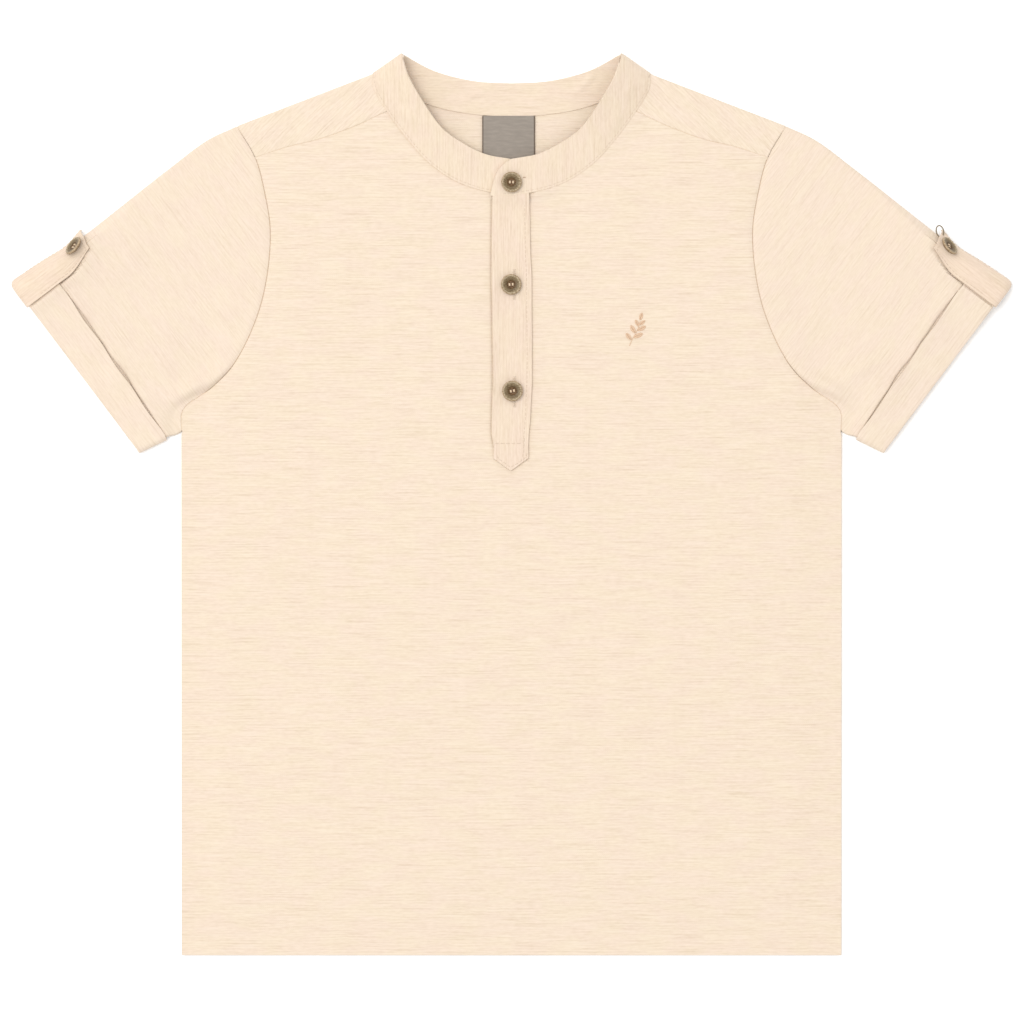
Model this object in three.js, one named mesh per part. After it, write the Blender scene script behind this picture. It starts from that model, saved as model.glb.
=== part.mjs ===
// A child's short-sleeved henley shirt laid flat on its back.
// Every piece of cloth is one wall, cut and folded as a maker cuts and folds it.
// Millimetres. X is the wearer's left, Y runs to the collar, Z is up from the table.
import * as THREE from "three";

// Driving dimensions of the shirt as it lies
const HALF_BODY = 178;
const HEM_Y = -243.5;
const CLOTH = 1.0;
const BAND = 1.6;
const SEAM = 0.3;
const NECK_SEAM = 0.4;
const LAYER = CLOTH + SEAM;

// Spacing of a panel's inner points, how far they are shaken out of line, and their room at an edge
const CELL = 21;
const SHAKE = { reach: 0.05 * CELL, turn: 7.3 };
const EDGE_ROOM = 0.5 * CELL;
const SLIT_STEP = 0.8 * CELL;
// Edge points nearer than this to a corner of a panel are left out
const CORNER_ROOM = { fold: 2, shoulder: 3, neck: 4, slit: 3 };

// Heights of the middle of a wall above the table
const BACK_Z = CLOTH / 2;
const EDGE_Z = BACK_Z + LAYER;
const FOLD_RADIUS = 1.2;
const FRONT_Z = BACK_Z + 2 * FOLD_RADIUS;
const RISE = { side: 30, hem: 45, shoulder: 60, shoulderOver: 90 };
const WAVES = { height: 0.22, across: 31, up: 57, start: 1.1, slant: 23, slantShare: 0.6 };
const CALM = { chest: 90, chestOver: 90, placket: 12, placketOver: 30 };

// Placket, from its left free edge to its right stitched edge
const PLACKET = { left: -9.7, right: 10.8, top: 165.8, slope: 0.06, shoulder: 24.8, tip: 18.0 };
const SLIT = { left: -7.0, right: 8.5, bottom: 36.0 };

// Neck band
const BAND_FOLD = { seam: 1.3, edge: 2.6 };
const BAND_LAP = { full: 11, over: 22 };
const UNDER_END = { x: -10.0, drop: 1.8 };
const UNDER_END_Z = 3.4;
const OVER_END_Z = UNDER_END_Z + BAND + SEAM;

// Sleeve end: the turned-up cuff and the soft roll of cloth below the tab
const CUFF_LIFT = LAYER;
const UNDERARM_GAP = 1.0;
// Shares of the sleeve's length by which its edges, its lift, its roll and its front have settled
const SETTLES = { top: 0.2, under: 0.6, front: 0.35 };
const LIFTS = { from: 0.3, over: 0.6 };
const ROLLS = { atArmhole: 0.15, from: 0.35, over: 0.4, across: 0.4 };
const ROLL = { height: 2.5, slope: 48 };
const CUFF_BULGES = [
  { place: 0.32, height: 1.2, width: 0.08 },
  { place: 0.63, height: 1.6, width: 0.07 },
];

// Woven label inside the neck
const LABEL = { left: -15.7, right: 12.6, top: 208.6, length: 30 };

// Sewn-on buttons
const BUTTON = { radius: 5.75, height: 2.5, bevel: 0.7, dish: 4.2, depth: 0.9, sides: 18 };
const FRONT_BUTTONS = [
  { x: 0, y: 173.7 },
  { x: -0.2, y: 118.5 },
  { x: 0.5, y: 61.0 },
];
const SLEEVE_BUTTON = { x: 235.9, y: 139.0, z: 10.9, tilt: 50, heading: 38 };

// Seams and edges of the wearer's left half; the right half mirrors them
const ARMHOLE = [
  { x: 148.2, y: 204.1 },
  { x: 138.5, y: 187.4 },
  { x: 133.4, y: 168.8 },
  { x: 130.2, y: 145.3 },
  { x: 135.2, y: 108.2 },
  { x: 149.3, y: 76.5 },
  { x: 161.6, y: 63.2 },
  { x: 177.4, y: 50.9 },
  { x: 178.15, y: 38.9 },
];
const SHOULDER_SEAM = [
  { x: 138.5, y: 187.4 },
  { x: 119.8, y: 193.2 },
  { x: 104.7, y: 196.8 },
  { x: 84.5, y: 204.1 },
  { x: 67.2, y: 212.2 },
];
const FRONT_NECK = [
  { x: 75.3, y: 232.7 },
  { x: 74.3, y: 224.6 },
  { x: 67.2, y: 212.2 },
  { x: 54.4, y: 195.0 },
  { x: 44.6, y: 184.3 },
  { x: 32.0, y: 175.3 },
  { x: 18.5, y: 169.9 },
  { x: 0, y: 166.2 },
];
const FRONT_BAND_EDGE = [
  { x: 59.5, y: 243.5 },
  { x: 56.0, y: 231.7 },
  { x: 49.0, y: 219.0 },
  { x: 37.2, y: 202.6 },
  { x: 26.0, y: 194.6 },
  { x: 14.0, y: 188.8 },
  { x: 0, y: 186.2 },
];
const BACK_NECK = [
  { x: 75.3, y: 232.7 },
  { x: 60.5, y: 222.9 },
  { x: 48.2, y: 217.0 },
  { x: 35.2, y: 212.9 },
  { x: 16.4, y: 210.0 },
  { x: 0, y: 209.2 },
];
const BACK_BAND_EDGE = [
  { x: 59.5, y: 243.5 },
  { x: 53.0, y: 239.4 },
  { x: 42.4, y: 234.0 },
  { x: 30.7, y: 230.4 },
  { x: 17.3, y: 227.9 },
  { x: 0, y: 227.1 },
];
const OVER_END = [
  { x: -11.4, y: 166.4 },
  { x: -10.5, y: 170.6 },
  { x: -9.0, y: 176.0 },
  { x: -6.8, y: 180.6 },
  { x: -3.2, y: 184.3 },
];
const SLEEVE_TOP = [
  { x: 148.2, y: 204.1 },
  { x: 164.4, y: 196.4 },
  { x: 186.0, y: 180.3 },
  { x: 208.3, y: 163.4 },
  { x: 252.2, y: 130.2 },
];
const HEM_TOP = { x: 268.7, y: 117.7 };
const CUFF_UNDERARM = { x: 186.0, y: 34.6 };
const HEM_UNDERARM = { x: 201.1, y: 27.0 };

// Tab from the hem to its tip: its inner edge seen from above, and how far it stands off the sleeve
const TAB_STATIONS = [
  { innerX: 260.4, innerY: 106.8, along: 0.0, stand: 3.9, lift: 2.6 },
  { innerX: 252.3, innerY: 112.9, along: 9.5, stand: 3.6, lift: 2.6 },
  { innerX: 244.3, innerY: 119.0, along: 19.0, stand: 3.0, lift: 2.6 },
  { innerX: 237.5, innerY: 124.3, along: 27.0, stand: 2.2, lift: 1.9 },
  { innerX: 233.6, innerY: 129.2, along: 33.0, stand: 1.6, lift: 1.6 },
  { innerX: 230.6, innerY: 134.0, along: 38.5, stand: 2.2, lift: 1.7 },
  { innerX: 227.9, innerY: 138.2, along: 45.0, stand: 4.0, lift: 2.2 },
];

const shirt = new THREE.Group();

function flat(point) {
  return new THREE.Vector2(point.x, point.y);
}

function smooth(value) {
  const t = Math.min(1, Math.max(0, value));
  return t * t * (3 - 2 * t);
}

function mix(a, b, t) {
  return a + (b - a) * t;
}

function turned(degrees) {
  const angle = THREE.MathUtils.degToRad(degrees);
  return new THREE.Vector2(Math.cos(angle), Math.sin(angle));
}

// A smooth run through a table's points, read by the share of its length
function run(table) {
  const knots = table.map((row) => new THREE.Vector3(row.x, row.y, 0));
  const spline = new THREE.CatmullRomCurve3(knots, false, "centripetal");
  return (share) => flat(spline.getPointAt(Math.min(1, Math.max(0, share))));
}

function sampled(path, count, from = 0, to = 1) {
  return Array.from({ length: count + 1 }, (_, i) => path(mix(from, to, i / count)));
}

// Points moved to the left of their own run
function shifted(points, distance) {
  return points.map((point, i) => {
    const before = points[Math.max(0, i - 1)];
    const after = points[Math.min(points.length - 1, i + 1)];
    const way = after.clone().sub(before).normalize();
    return new THREE.Vector2(point.x - way.y * distance, point.y + way.x * distance);
  });
}

function mirrored(points) {
  return points.map((point) => new THREE.Vector2(-point.x, point.y)).reverse();
}

function lengthOf(points) {
  return points.slice(1).reduce((sum, point, i) => sum + point.distanceTo(points[i]), 0);
}

function straight(a, b, step) {
  const count = Math.max(1, Math.round(a.distanceTo(b) / step));
  return Array.from({ length: count }, (_, i) => a.clone().lerp(b, i / count));
}

function inside(point, outline) {
  let within = false;
  for (let i = 0, j = outline.length - 1; i < outline.length; j = i++) {
    const a = outline[i];
    const b = outline[j];
    const crosses = a.y > point.y !== b.y > point.y;
    if (crosses && point.x < ((b.x - a.x) * (point.y - a.y)) / (b.y - a.y) + a.x) {
      within = !within;
    }
  }
  return within;
}

function clearance(point, outline) {
  let least = Infinity;
  for (let i = 0; i < outline.length; i++) {
    const a = outline[i];
    const b = outline[(i + 1) % outline.length];
    const side = b.clone().sub(a);
    const share = point.clone().sub(a).dot(side) / side.lengthSq();
    const nearest = a.clone().addScaledVector(side, Math.min(1, Math.max(0, share)));
    least = Math.min(least, nearest.distanceTo(point));
  }
  return least;
}

function circumcircle(a, b, c) {
  const bx = b.x - a.x;
  const by = b.y - a.y;
  const cx = c.x - a.x;
  const cy = c.y - a.y;
  const twice = 2 * (bx * cy - by * cx);
  const ux = (cy * (bx * bx + by * by) - by * (cx * cx + cy * cy)) / twice;
  const uy = (bx * (cx * cx + cy * cy) - cx * (bx * bx + by * by)) / twice;
  return { x: a.x + ux, y: a.y + uy, square: ux * ux + uy * uy };
}

// Bowyer and Watson's triangulation of a panel's outline and inner points
function triangulated(outline, inner) {
  const points = [...outline, ...inner];
  const total = points.length;
  const far = 1000 * CELL;
  const all = [...points];
  all.push(new THREE.Vector2(-far, -far));
  all.push(new THREE.Vector2(far, -far));
  all.push(new THREE.Vector2(0, far));
  const made = (a, b, c) => ({ corners: [a, b, c], circle: circumcircle(all[a], all[b], all[c]) });
  let faces = [made(total, total + 1, total + 2)];
  for (let i = 0; i < total; i++) {
    const point = all[i];
    const edges = new Map();
    const kept = [];
    for (const face of faces) {
      const dx = point.x - face.circle.x;
      const dy = point.y - face.circle.y;
      if (dx * dx + dy * dy >= face.circle.square) {
        kept.push(face);
        continue;
      }
      const [a, b, c] = face.corners;
      for (const [from, to] of [[a, b], [b, c], [c, a]]) {
        if (!edges.delete(`${to}_${from}`)) {
          edges.set(`${from}_${to}`, [from, to]);
        }
      }
    }
    for (const [from, to] of edges.values()) {
      kept.push(made(from, to, i));
    }
    faces = kept;
  }
  const triangles = faces.map((face) => face.corners).filter((corners) => {
    if (Math.max(...corners) >= total) {
      return false;
    }
    const [a, b, c] = corners.map((corner) => points[corner]);
    return inside(new THREE.Vector2((a.x + b.x + c.x) / 3, (a.y + b.y + c.y) / 3), outline);
  });
  return { points, triangles };
}

// A flat-cut panel: even inner points, each lifted to its height
function panelSheet(outline, height) {
  const inner = [];
  const xs = outline.map((point) => point.x);
  const ys = outline.map((point) => point.y);
  const rowStep = CELL * Math.sqrt(0.75);
  let row = 0;
  for (let y = Math.min(...ys) + rowStep / 2; y < Math.max(...ys); y += rowStep) {
    row += 1;
    for (let x = Math.min(...xs) + (row % 2 ? CELL / 2 : CELL / 4); x < Math.max(...xs); x += CELL) {
      const shaken = new THREE.Vector2(Math.sin(SHAKE.turn * row + x), Math.sin(x));
      const point = shaken.multiplyScalar(SHAKE.reach).add(new THREE.Vector2(x, y));
      if (inside(point, outline) && clearance(point, outline) > EDGE_ROOM) {
        inner.push(point);
      }
    }
  }
  const { points, triangles } = triangulated(outline, inner);
  const lifted = points.map((point) => new THREE.Vector3(point.x, point.y, height(point.x, point.y)));
  return { points: lifted, normals: lifted.map(() => null), triangles };
}

// Rows and columns of points; a closed sheet's columns join into a ring
function gridSheet(rows, columns, at, closed = false) {
  const points = [];
  const normals = [];
  const triangles = [];
  const width = closed ? columns : columns + 1;
  for (let i = 0; i <= rows; i++) {
    for (let j = 0; j < width; j++) {
      const spot = at(i, j);
      points.push(spot.point);
      normals.push(spot.normal ?? null);
    }
  }
  for (let i = 0; i < rows; i++) {
    for (let j = 0; j < columns; j++) {
      const a = i * width + j;
      const b = i * width + ((j + 1) % width);
      triangles.push([a, b, b + width], [a, b + width, a + width]);
    }
  }
  return { points, normals, triangles };
}

function joinedSheets(sheets) {
  const places = new Map();
  const joined = { points: [], normals: [], triangles: [] };
  for (const sheet of sheets) {
    const numbers = sheet.points.map((point, i) => {
      const key = [point.x, point.y, point.z].map((value) => value.toFixed(3)).join(" ");
      if (!places.has(key)) {
        places.set(key, joined.points.length);
        joined.points.push(point);
        joined.normals.push(sheet.normals[i]);
      }
      return places.get(key);
    });
    joined.triangles.push(...sheet.triangles.map((corners) => corners.map((corner) => numbers[corner])));
  }
  return joined;
}

// Normals that a sheet doesn't give are worked out from its triangles
function withNormals(sheet) {
  const sums = sheet.points.map(() => new THREE.Vector3());
  for (const corners of sheet.triangles) {
    const [a, b, c] = corners.map((corner) => sheet.points[corner]);
    const cross = b.clone().sub(a).cross(c.clone().sub(a));
    corners.forEach((corner) => sums[corner].add(cross));
  }
  const normals = sheet.normals.map((given, i) => given ?? sums[i].normalize());
  return { ...sheet, normals };
}

// The wall of a sheet: both faces, and a rim along every open edge
function wallGeometry(sheet, wall) {
  const { points, normals, triangles } = withNormals(sheet);
  const count = points.length;
  const positions = [];
  for (const side of [0.5, -0.5]) {
    points.forEach((point, i) => {
      positions.push(...point.clone().addScaledVector(normals[i], side * wall).toArray());
    });
  }
  const edges = new Set(triangles.flatMap(([a, b, c]) => [`${a}_${b}`, `${b}_${c}`, `${c}_${a}`]));
  const faces = [];
  for (const [a, b, c] of triangles) {
    faces.push(a, b, c, c + count, b + count, a + count);
  }
  for (const edge of edges) {
    const [a, b] = edge.split("_").map(Number);
    if (!edges.has(`${b}_${a}`)) {
      faces.push(a + count, b + count, b, a + count, b, a);
    }
  }
  const geometry = new THREE.BufferGeometry();
  geometry.setAttribute("position", new THREE.Float32BufferAttribute(positions, 3));
  geometry.setIndex(faces);
  geometry.computeVertexNormals();
  return geometry;
}

// Triangles turned so that they face the way of the normals given, told by the first that is no sliver
const SLIVER = 0.1;
function faced(sheet) {
  for (const [a, b, c] of sheet.triangles) {
    const [p, q, r] = [a, b, c].map((corner) => sheet.points[corner]);
    const cross = q.clone().sub(p).cross(r.clone().sub(p));
    if (cross.length() > SLIVER) {
      const turn = cross.dot(sheet.normals[a]) < 0;
      return turn ? { ...sheet, triangles: sheet.triangles.map((face) => face.toReversed()) } : sheet;
    }
  }
  return sheet;
}

function flipped(sheet) {
  const mirror = (point) => new THREE.Vector3(-point.x, point.y, point.z);
  return {
    points: sheet.points.map(mirror),
    normals: sheet.normals.map((normal) => normal && mirror(normal)),
    triangles: sheet.triangles.map(([a, b, c]) => [a, c, b]),
  };
}

function addPiece(name, geometry, colour, roughness = 0.9) {
  const material = new THREE.MeshStandardMaterial({ color: colour, roughness, metalness: 0 });
  const mesh = new THREE.Mesh(geometry, material);
  mesh.name = name;
  shirt.add(mesh);
  return mesh;
}

// Body: the top layer lies on the back at its side and hem edges and rises a little inside
function frontHeight(x, y) {
  const fromSide = smooth((HALF_BODY - Math.abs(x)) / RISE.side);
  const fromHem = smooth((y - HEM_Y) / RISE.hem);
  const shoulder = smooth((y - RISE.shoulder) / RISE.shoulderOver);
  const rise = (FRONT_Z - EDGE_Z) * Math.max(fromSide * fromHem, shoulder);
  const chest = smooth((y - CALM.chest) / CALM.chestOver);
  const loose = fromSide * fromHem * (1 - chest) * smooth((Math.abs(x) - CALM.placket) / CALM.placketOver);
  const slant = WAVES.slantShare * Math.sin((x - y) / WAVES.slant);
  const wave = Math.sin(x / WAVES.across + WAVES.start) * Math.sin(y / WAVES.up) + slant;
  return EDGE_Z + rise + WAVES.height * loose * wave;
}

const UP = new THREE.Vector3(0, 0, 1);
const DOWN = new THREE.Vector3(0, 0, -1);
const FOLD_ARC = [-90, -45, 0, 45, 90];
const SHOULDER_ROWS = 4;
const SHOULDER_STEPS = 6;
const STRIP_NECK = { from: 0.1, to: 0.99 };

const armholePath = run(ARMHOLE);
const armholeLength = lengthOf(sampled(armholePath, 60));
const frontNeckPath = run(FRONT_NECK);
const foldWay = flat(ARMHOLE[0]).sub(flat(ARMHOLE[1])).normalize();
const seamProbe = 0.01;
const shoulderLine = flat(ARMHOLE[0]).sub(flat(FRONT_NECK[0]));
const shoulderWay = new THREE.Vector2(-shoulderLine.y, shoulderLine.x).normalize();

function bodySide() {
  return straight(new THREE.Vector2(HALF_BODY, HEM_Y), flat(ARMHOLE.at(-1)), CELL).slice(1);
}

function hem() {
  return straight(new THREE.Vector2(-HALF_BODY, HEM_Y), new THREE.Vector2(HALF_BODY, HEM_Y), CELL);
}

// A spot on the armhole seam, moved towards the sleeve; body and sleeve share these stations
const ACROSS = [0, 0.08, 0.16, 0.26, 0.36, 0.47, 0.58, 0.69, 0.79, 0.87, 0.94, 1];

function armholeSpot(share, away) {
  const way = armholePath(share + seamProbe).sub(armholePath(share - seamProbe)).normalize();
  return armholePath(share).add(new THREE.Vector2(-way.y, way.x).multiplyScalar(away));
}

// The body's armhole edge from the underarm up, as far as a height
function bodyArmhole(top) {
  const edge = ACROSS.toReversed().map((share) => armholeSpot(share, -SEAM / 2));
  return edge.filter((point) => point.y < top);
}

// The strip of the back that lies over the shoulder fold, down to the forward seam
function shoulderStrip() {
  const neckPath = run(shifted(sampled(run(FRONT_NECK.slice(0, 3)), 6), NECK_SEAM));
  const armTop = shifted(ARMHOLE.slice(0, 2).map(flat), -SEAM / 2)[0];
  const seamPath = run(shifted(sampled(run(SHOULDER_SEAM), 12), -SEAM / 2).reverse());
  const foldShare = (FOLD_RADIUS + CLOTH / 2) / armholeLength;
  const seamShare = flat(ARMHOLE[0]).distanceTo(flat(ARMHOLE[1])) / armholeLength;
  const last = FOLD_ARC.length - 1;
  return faced(gridSheet(last + SHOULDER_ROWS, SHOULDER_STEPS, (i, j) => {
    const t = j / SHOULDER_STEPS;
    const way = shoulderWay.clone().lerp(foldWay, t * t).normalize();
    const start = neckPath(0).lerp(armTop, t).addScaledVector(way, -(FOLD_RADIUS + CLOTH / 2));
    if (i <= last) {
      const turn = turned(FOLD_ARC[i]);
      const spot = start.addScaledVector(way, turn.x * FOLD_RADIUS);
      const z = BACK_Z + FOLD_RADIUS * (1 + turn.y);
      const normal = new THREE.Vector3(way.x * turn.x, way.y * turn.x, turn.y);
      return { point: new THREE.Vector3(spot.x, spot.y, z), normal };
    }
    const share = (i - last) / SHOULDER_ROWS;
    let spot = start.clone().lerp(seamPath(t), share);
    if (j === 0) {
      spot = neckPath(mix(STRIP_NECK.from, STRIP_NECK.to, share));
    } else if (j === SHOULDER_STEPS) {
      spot = armholeSpot(mix(foldShare, seamShare, share), -SEAM / 2);
    }
    return { point: new THREE.Vector3(spot.x, spot.y, FRONT_Z), normal: UP };
  }));
}

function backSheet() {
  const strip = shoulderStrip();
  const foldStart = strip.points.slice(0, SHOULDER_STEPS + 1).map(flat).reverse();
  const neck = shifted(sampled(run(BACK_NECK), 9), NECK_SEAM).slice(1, -1);
  const half = [...bodySide(), ...bodyArmhole(foldStart[0].y - CORNER_ROOM.fold), ...foldStart, ...neck];
  const middle = new THREE.Vector2(0, BACK_NECK.at(-1).y - NECK_SEAM);
  const corner = new THREE.Vector2(HALF_BODY, HEM_Y);
  const main = panelSheet([...hem(), corner, ...half, middle, ...mirrored(half)], () => BACK_Z);
  main.normals = main.points.map(() => DOWN);
  return joinedSheets([faced(main), strip, flipped(strip)]);
}

// The height on the front's neck edge at a distance from the middle
function neckEdge(x) {
  const edge = shifted(sampled(frontNeckPath, 60), NECK_SEAM);
  return edge.find((point) => point.x <= Math.abs(x))?.y ?? edge.at(-1).y;
}

function frontSheet() {
  const seam = shifted(sampled(run(SHOULDER_SEAM), SHOULDER_STEPS), SEAM / 2);
  const neck = shifted(sampled(frontNeckPath, 14), NECK_SEAM);
  const neckTop = seam.at(-1).y - CORNER_ROOM.neck;
  const neckFrom = (reach) => neck.filter(({ x, y }) => y < neckTop && x > reach + CORNER_ROOM.slit);
  const half = [...bodySide(), ...bodyArmhole(seam[0].y - CORNER_ROOM.shoulder), ...seam];
  const slit = [
    new THREE.Vector2(SLIT.right, neckEdge(SLIT.right)),
    new THREE.Vector2(SLIT.right, SLIT.bottom),
    new THREE.Vector2(SLIT.left, SLIT.bottom),
    new THREE.Vector2(SLIT.left, neckEdge(SLIT.left)),
  ];
  const slitEdge = slit.slice(0, -1).flatMap((point, i) => straight(point, slit[i + 1], SLIT_STEP));
  const corner = new THREE.Vector2(HALF_BODY, HEM_Y);
  const outline = [...hem(), corner, ...half, ...neckFrom(SLIT.right), ...slitEdge, slit.at(-1)];
  outline.push(...mirrored(neckFrom(-SLIT.left)), ...mirrored(half));
  return panelSheet(outline, frontHeight);
}

addPiece("back", wallGeometry(backSheet(), CLOTH), 0xf6e2ca);
addPiece("front", wallGeometry(frontSheet(), CLOTH), 0xfce8d1);

// Placket: the under strip fills the slit, and the top strip lies over it and the front
function placketSheet(left, right, bottom, lift, rows, columns) {
  return gridSheet(rows, columns, (i, j) => {
    const x = mix(left, right, j / columns);
    const top = x < 0 ? PLACKET.top : Math.min(neckEdge(x), PLACKET.top + PLACKET.slope * x);
    const y = mix(bottom(x), top, i / rows);
    return { point: new THREE.Vector3(x, y, frontHeight(x, y) + lift), normal: UP };
  });
}

function placketPoint(x) {
  const middle = (PLACKET.left + PLACKET.right) / 2;
  const share = Math.abs(x - middle) / (PLACKET.right - middle);
  return mix(PLACKET.tip, PLACKET.shoulder, share);
}

const underStrip = placketSheet(SLIT.left + SEAM, SLIT.right - SEAM, () => SLIT.bottom + SEAM, 0, 10, 2);
const topStrip = placketSheet(PLACKET.left, PLACKET.right, placketPoint, LAYER, 12, 4);
addPiece("placket_under", wallGeometry(underStrip, CLOTH), 0xf4decd);
addPiece("placket_top", wallGeometry(topStrip, CLOTH), 0xfae4cd);

// Neck band: one strip from its over end, round the back of the neck, to its under end
const BAND_ROWS = 4;
const BAND_SHARES = { front: 10, frontEnd: 0.93, back: 7, backStart: 0.1 };
const BAND_ARC = [90, 50, 0, -50, -90];
const bandFoldStart = flat(FRONT_NECK[0]);
const bandFoldEnd = flat(FRONT_BAND_EDGE[0]);
const bandFoldLine = bandFoldEnd.clone().sub(bandFoldStart).normalize();
const bandFoldWay = new THREE.Vector2(bandFoldLine.y, -bandFoldLine.x);

const bandSeamPath = run(shifted(sampled(frontNeckPath, 24), -SEAM / 2).reverse());
const bandEdgePath = run(FRONT_BAND_EDGE.toReversed());
const bandBackSeamPath = run(shifted(sampled(run(BACK_NECK), 12), -SEAM / 2));
const bandBackEdgePath = run(BACK_BAND_EDGE);
const overEndPath = run(OVER_END);

function bandFoldRadius(v) {
  return mix(BAND_FOLD.seam, BAND_FOLD.edge, v);
}

function bandFrontSpot(share, v, over) {
  if (share >= 0) {
    return bandSeamPath(share).lerp(bandEdgePath(share), v);
  }
  const middle = bandSeamPath(0).lerp(bandEdgePath(0), v);
  const end = over ? overEndPath(v) : new THREE.Vector2(UNDER_END.x, middle.y + UNDER_END.drop);
  return middle.lerp(end, -share);
}

function bandFrontHeight(spot, share, v, over) {
  const peak = BAND / 2 + 2 * bandFoldRadius(v);
  const lap = over ? OVER_END_Z - UNDER_END_Z : 0;
  return mix(UNDER_END_Z, peak, smooth(share)) + lap * (1 - smooth((spot.x - BAND_LAP.full) / BAND_LAP.over));
}

// The stations of half a band, from its end at the front to the middle of the back
function bandHalf(over) {
  const stations = [];
  for (const share of [-1, -0.5]) {
    stations.push({ kind: "front", share });
  }
  for (let i = 0; i <= BAND_SHARES.front; i++) {
    stations.push({ kind: "front", share: (BAND_SHARES.frontEnd * i) / BAND_SHARES.front });
  }
  BAND_ARC.forEach((angle) => stations.push({ kind: "fold", angle }));
  for (let i = 0; i <= BAND_SHARES.back; i++) {
    stations.push({ kind: "back", share: mix(BAND_SHARES.backStart, 1, i / BAND_SHARES.back) });
  }
  return stations.map((station) => (v) => {
    if (station.kind === "front") {
      const spot = bandFrontSpot(station.share, v, over);
      const z = bandFrontHeight(spot, station.share, v, over);
      return { point: new THREE.Vector3(spot.x, spot.y, z), normal: UP };
    }
    if (station.kind === "back") {
      const spot = bandBackSeamPath(station.share).lerp(bandBackEdgePath(station.share), v);
      return { point: new THREE.Vector3(spot.x, spot.y, BAND / 2), normal: DOWN };
    }
    const turn = turned(station.angle);
    const radius = bandFoldRadius(v);
    const start = bandFoldStart.clone().addScaledVector(bandFoldLine, SEAM);
    const spot = start.lerp(bandFoldEnd, v);
    spot.addScaledVector(bandFoldWay, radius * turn.x - radius - BAND / 2);
    const normal = new THREE.Vector3(bandFoldWay.x * turn.x, bandFoldWay.y * turn.x, turn.y);
    return { point: new THREE.Vector3(spot.x, spot.y, BAND / 2 + radius * (1 + turn.y)), normal };
  });
}

function collarSheet() {
  const over = bandHalf(true);
  const under = bandHalf(false).slice(0, -1).reverse();
  const stations = [...over, ...under];
  return faced(gridSheet(BAND_ROWS, stations.length - 1, (i, j) => {
    const spot = stations[j](i / BAND_ROWS);
    if (j < over.length) {
      return spot;
    }
    spot.point = new THREE.Vector3(-spot.point.x, spot.point.y, spot.point.z);
    spot.normal = new THREE.Vector3(-spot.normal.x, spot.normal.y, spot.normal.z);
    return spot;
  }));
}

addPiece("collar", wallGeometry(collarSheet(), BAND), 0xfbe6ce);

// Sleeve: one tube, folded flat, whose hem is turned up outside as the cuff
const SLEEVE_ROWS = 8;
const CUFF_ROWS = 2;
const LOW_ARC = [-60, -20, 20];
const HIGH_ARC = [48, 72];
const UNDERARM_ARC = [55, 0, -55];
const TURN_RADIUS = LAYER / 2;
const TURN_ARC = [-90, -30, 30, 90];

const hemLine = flat(HEM_UNDERARM).sub(flat(HEM_TOP)).normalize();
const hemWay = new THREE.Vector2(-hemLine.y, hemLine.x);
const sleeveTopPath = run(SLEEVE_TOP);
const cuffTop = flat(SLEEVE_TOP.at(-1));
const cuffDepth = cuffTop.distanceTo(flat(HEM_TOP));
const topLength = lengthOf(sampled(sleeveTopPath, 20));
const topLine = flat(SLEEVE_TOP[1]).sub(cuffTop).normalize();
const topWay = new THREE.Vector2(topLine.y, -topLine.x);
const underLine = flat(HEM_UNDERARM).sub(flat(ARMHOLE.at(-1))).normalize();
const underWay = new THREE.Vector2(underLine.y, -underLine.x);
const armEndWay = flat(ARMHOLE.at(-1)).sub(flat(ARMHOLE.at(-2))).normalize();

// How the sleeve lies at a share of its length: 0 at the armhole, 1 at the cuff's edge, 2 at the hem
function sleeveLie(share) {
  const shoulderPart = Math.min(1, share);
  const cuffPart = Math.max(0, share - 1);
  const hemStep = hemWay.clone().multiplyScalar(-(TURN_RADIUS + CLOTH / 2) * cuffPart);
  const top = share <= 1 ? sleeveTopPath(share) : cuffTop.clone().lerp(flat(HEM_TOP), cuffPart).add(hemStep);
  const under = share <= 1
    ? armholeSpot(1, SEAM / 2).lerp(flat(CUFF_UNDERARM), share)
    : flat(CUFF_UNDERARM).lerp(flat(HEM_UNDERARM), cuffPart).add(hemStep);
  const topTurn = foldWay.clone().lerp(topWay, smooth(shoulderPart / SETTLES.top)).normalize();
  const underTurn = armEndWay.clone().lerp(underWay, smooth(shoulderPart / SETTLES.under)).normalize();
  const lifted = smooth((shoulderPart - LIFTS.from) / LIFTS.over);
  const low = BACK_Z + CUFF_LIFT * lifted;
  const roll = ROLLS.atArmhole + ROLL.height * smooth((shoulderPart - ROLLS.from) / ROLLS.over);
  const underRadius = mix((EDGE_Z - BACK_Z) / 2, UNDERARM_GAP, lifted);
  const topInset = FOLD_RADIUS + CLOTH / 2 + LAYER * lifted;
  const rollRun = roll / Math.tan(THREE.MathUtils.degToRad(90 - ROLL.slope));
  return { share, top, under, topTurn, underTurn, low, roll, rollRun, underRadius, topInset, lifted };
}

// A spot on a layer, across the sleeve from its top fold (0) to its underarm (1)
function acrossSleeve(lie, across, inset) {
  const underInset = lie.underRadius + CLOTH / 2 + LAYER * lie.lifted;
  const top = lie.top.clone().addScaledVector(lie.topTurn, -inset);
  const under = lie.under.clone().addScaledVector(lie.underTurn, -underInset);
  const straightSpot = top.clone().lerp(under, across);
  if (lie.share >= 1) {
    return straightSpot;
  }
  const first = inset / armholeLength;
  const last = 1 - underInset / armholeLength;
  const seamSpot = armholeSpot(Math.min(last, Math.max(first, across)), SEAM / 2);
  if (lie.share === 0) {
    return seamSpot;
  }
  const seamTop = armholeSpot(first, SEAM / 2);
  const seamUnder = armholeSpot(last, SEAM / 2);
  const bow = seamSpot.sub(seamTop.lerp(seamUnder, across));
  return straightSpot.addScaledVector(bow, 1 - lie.share);
}

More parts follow.
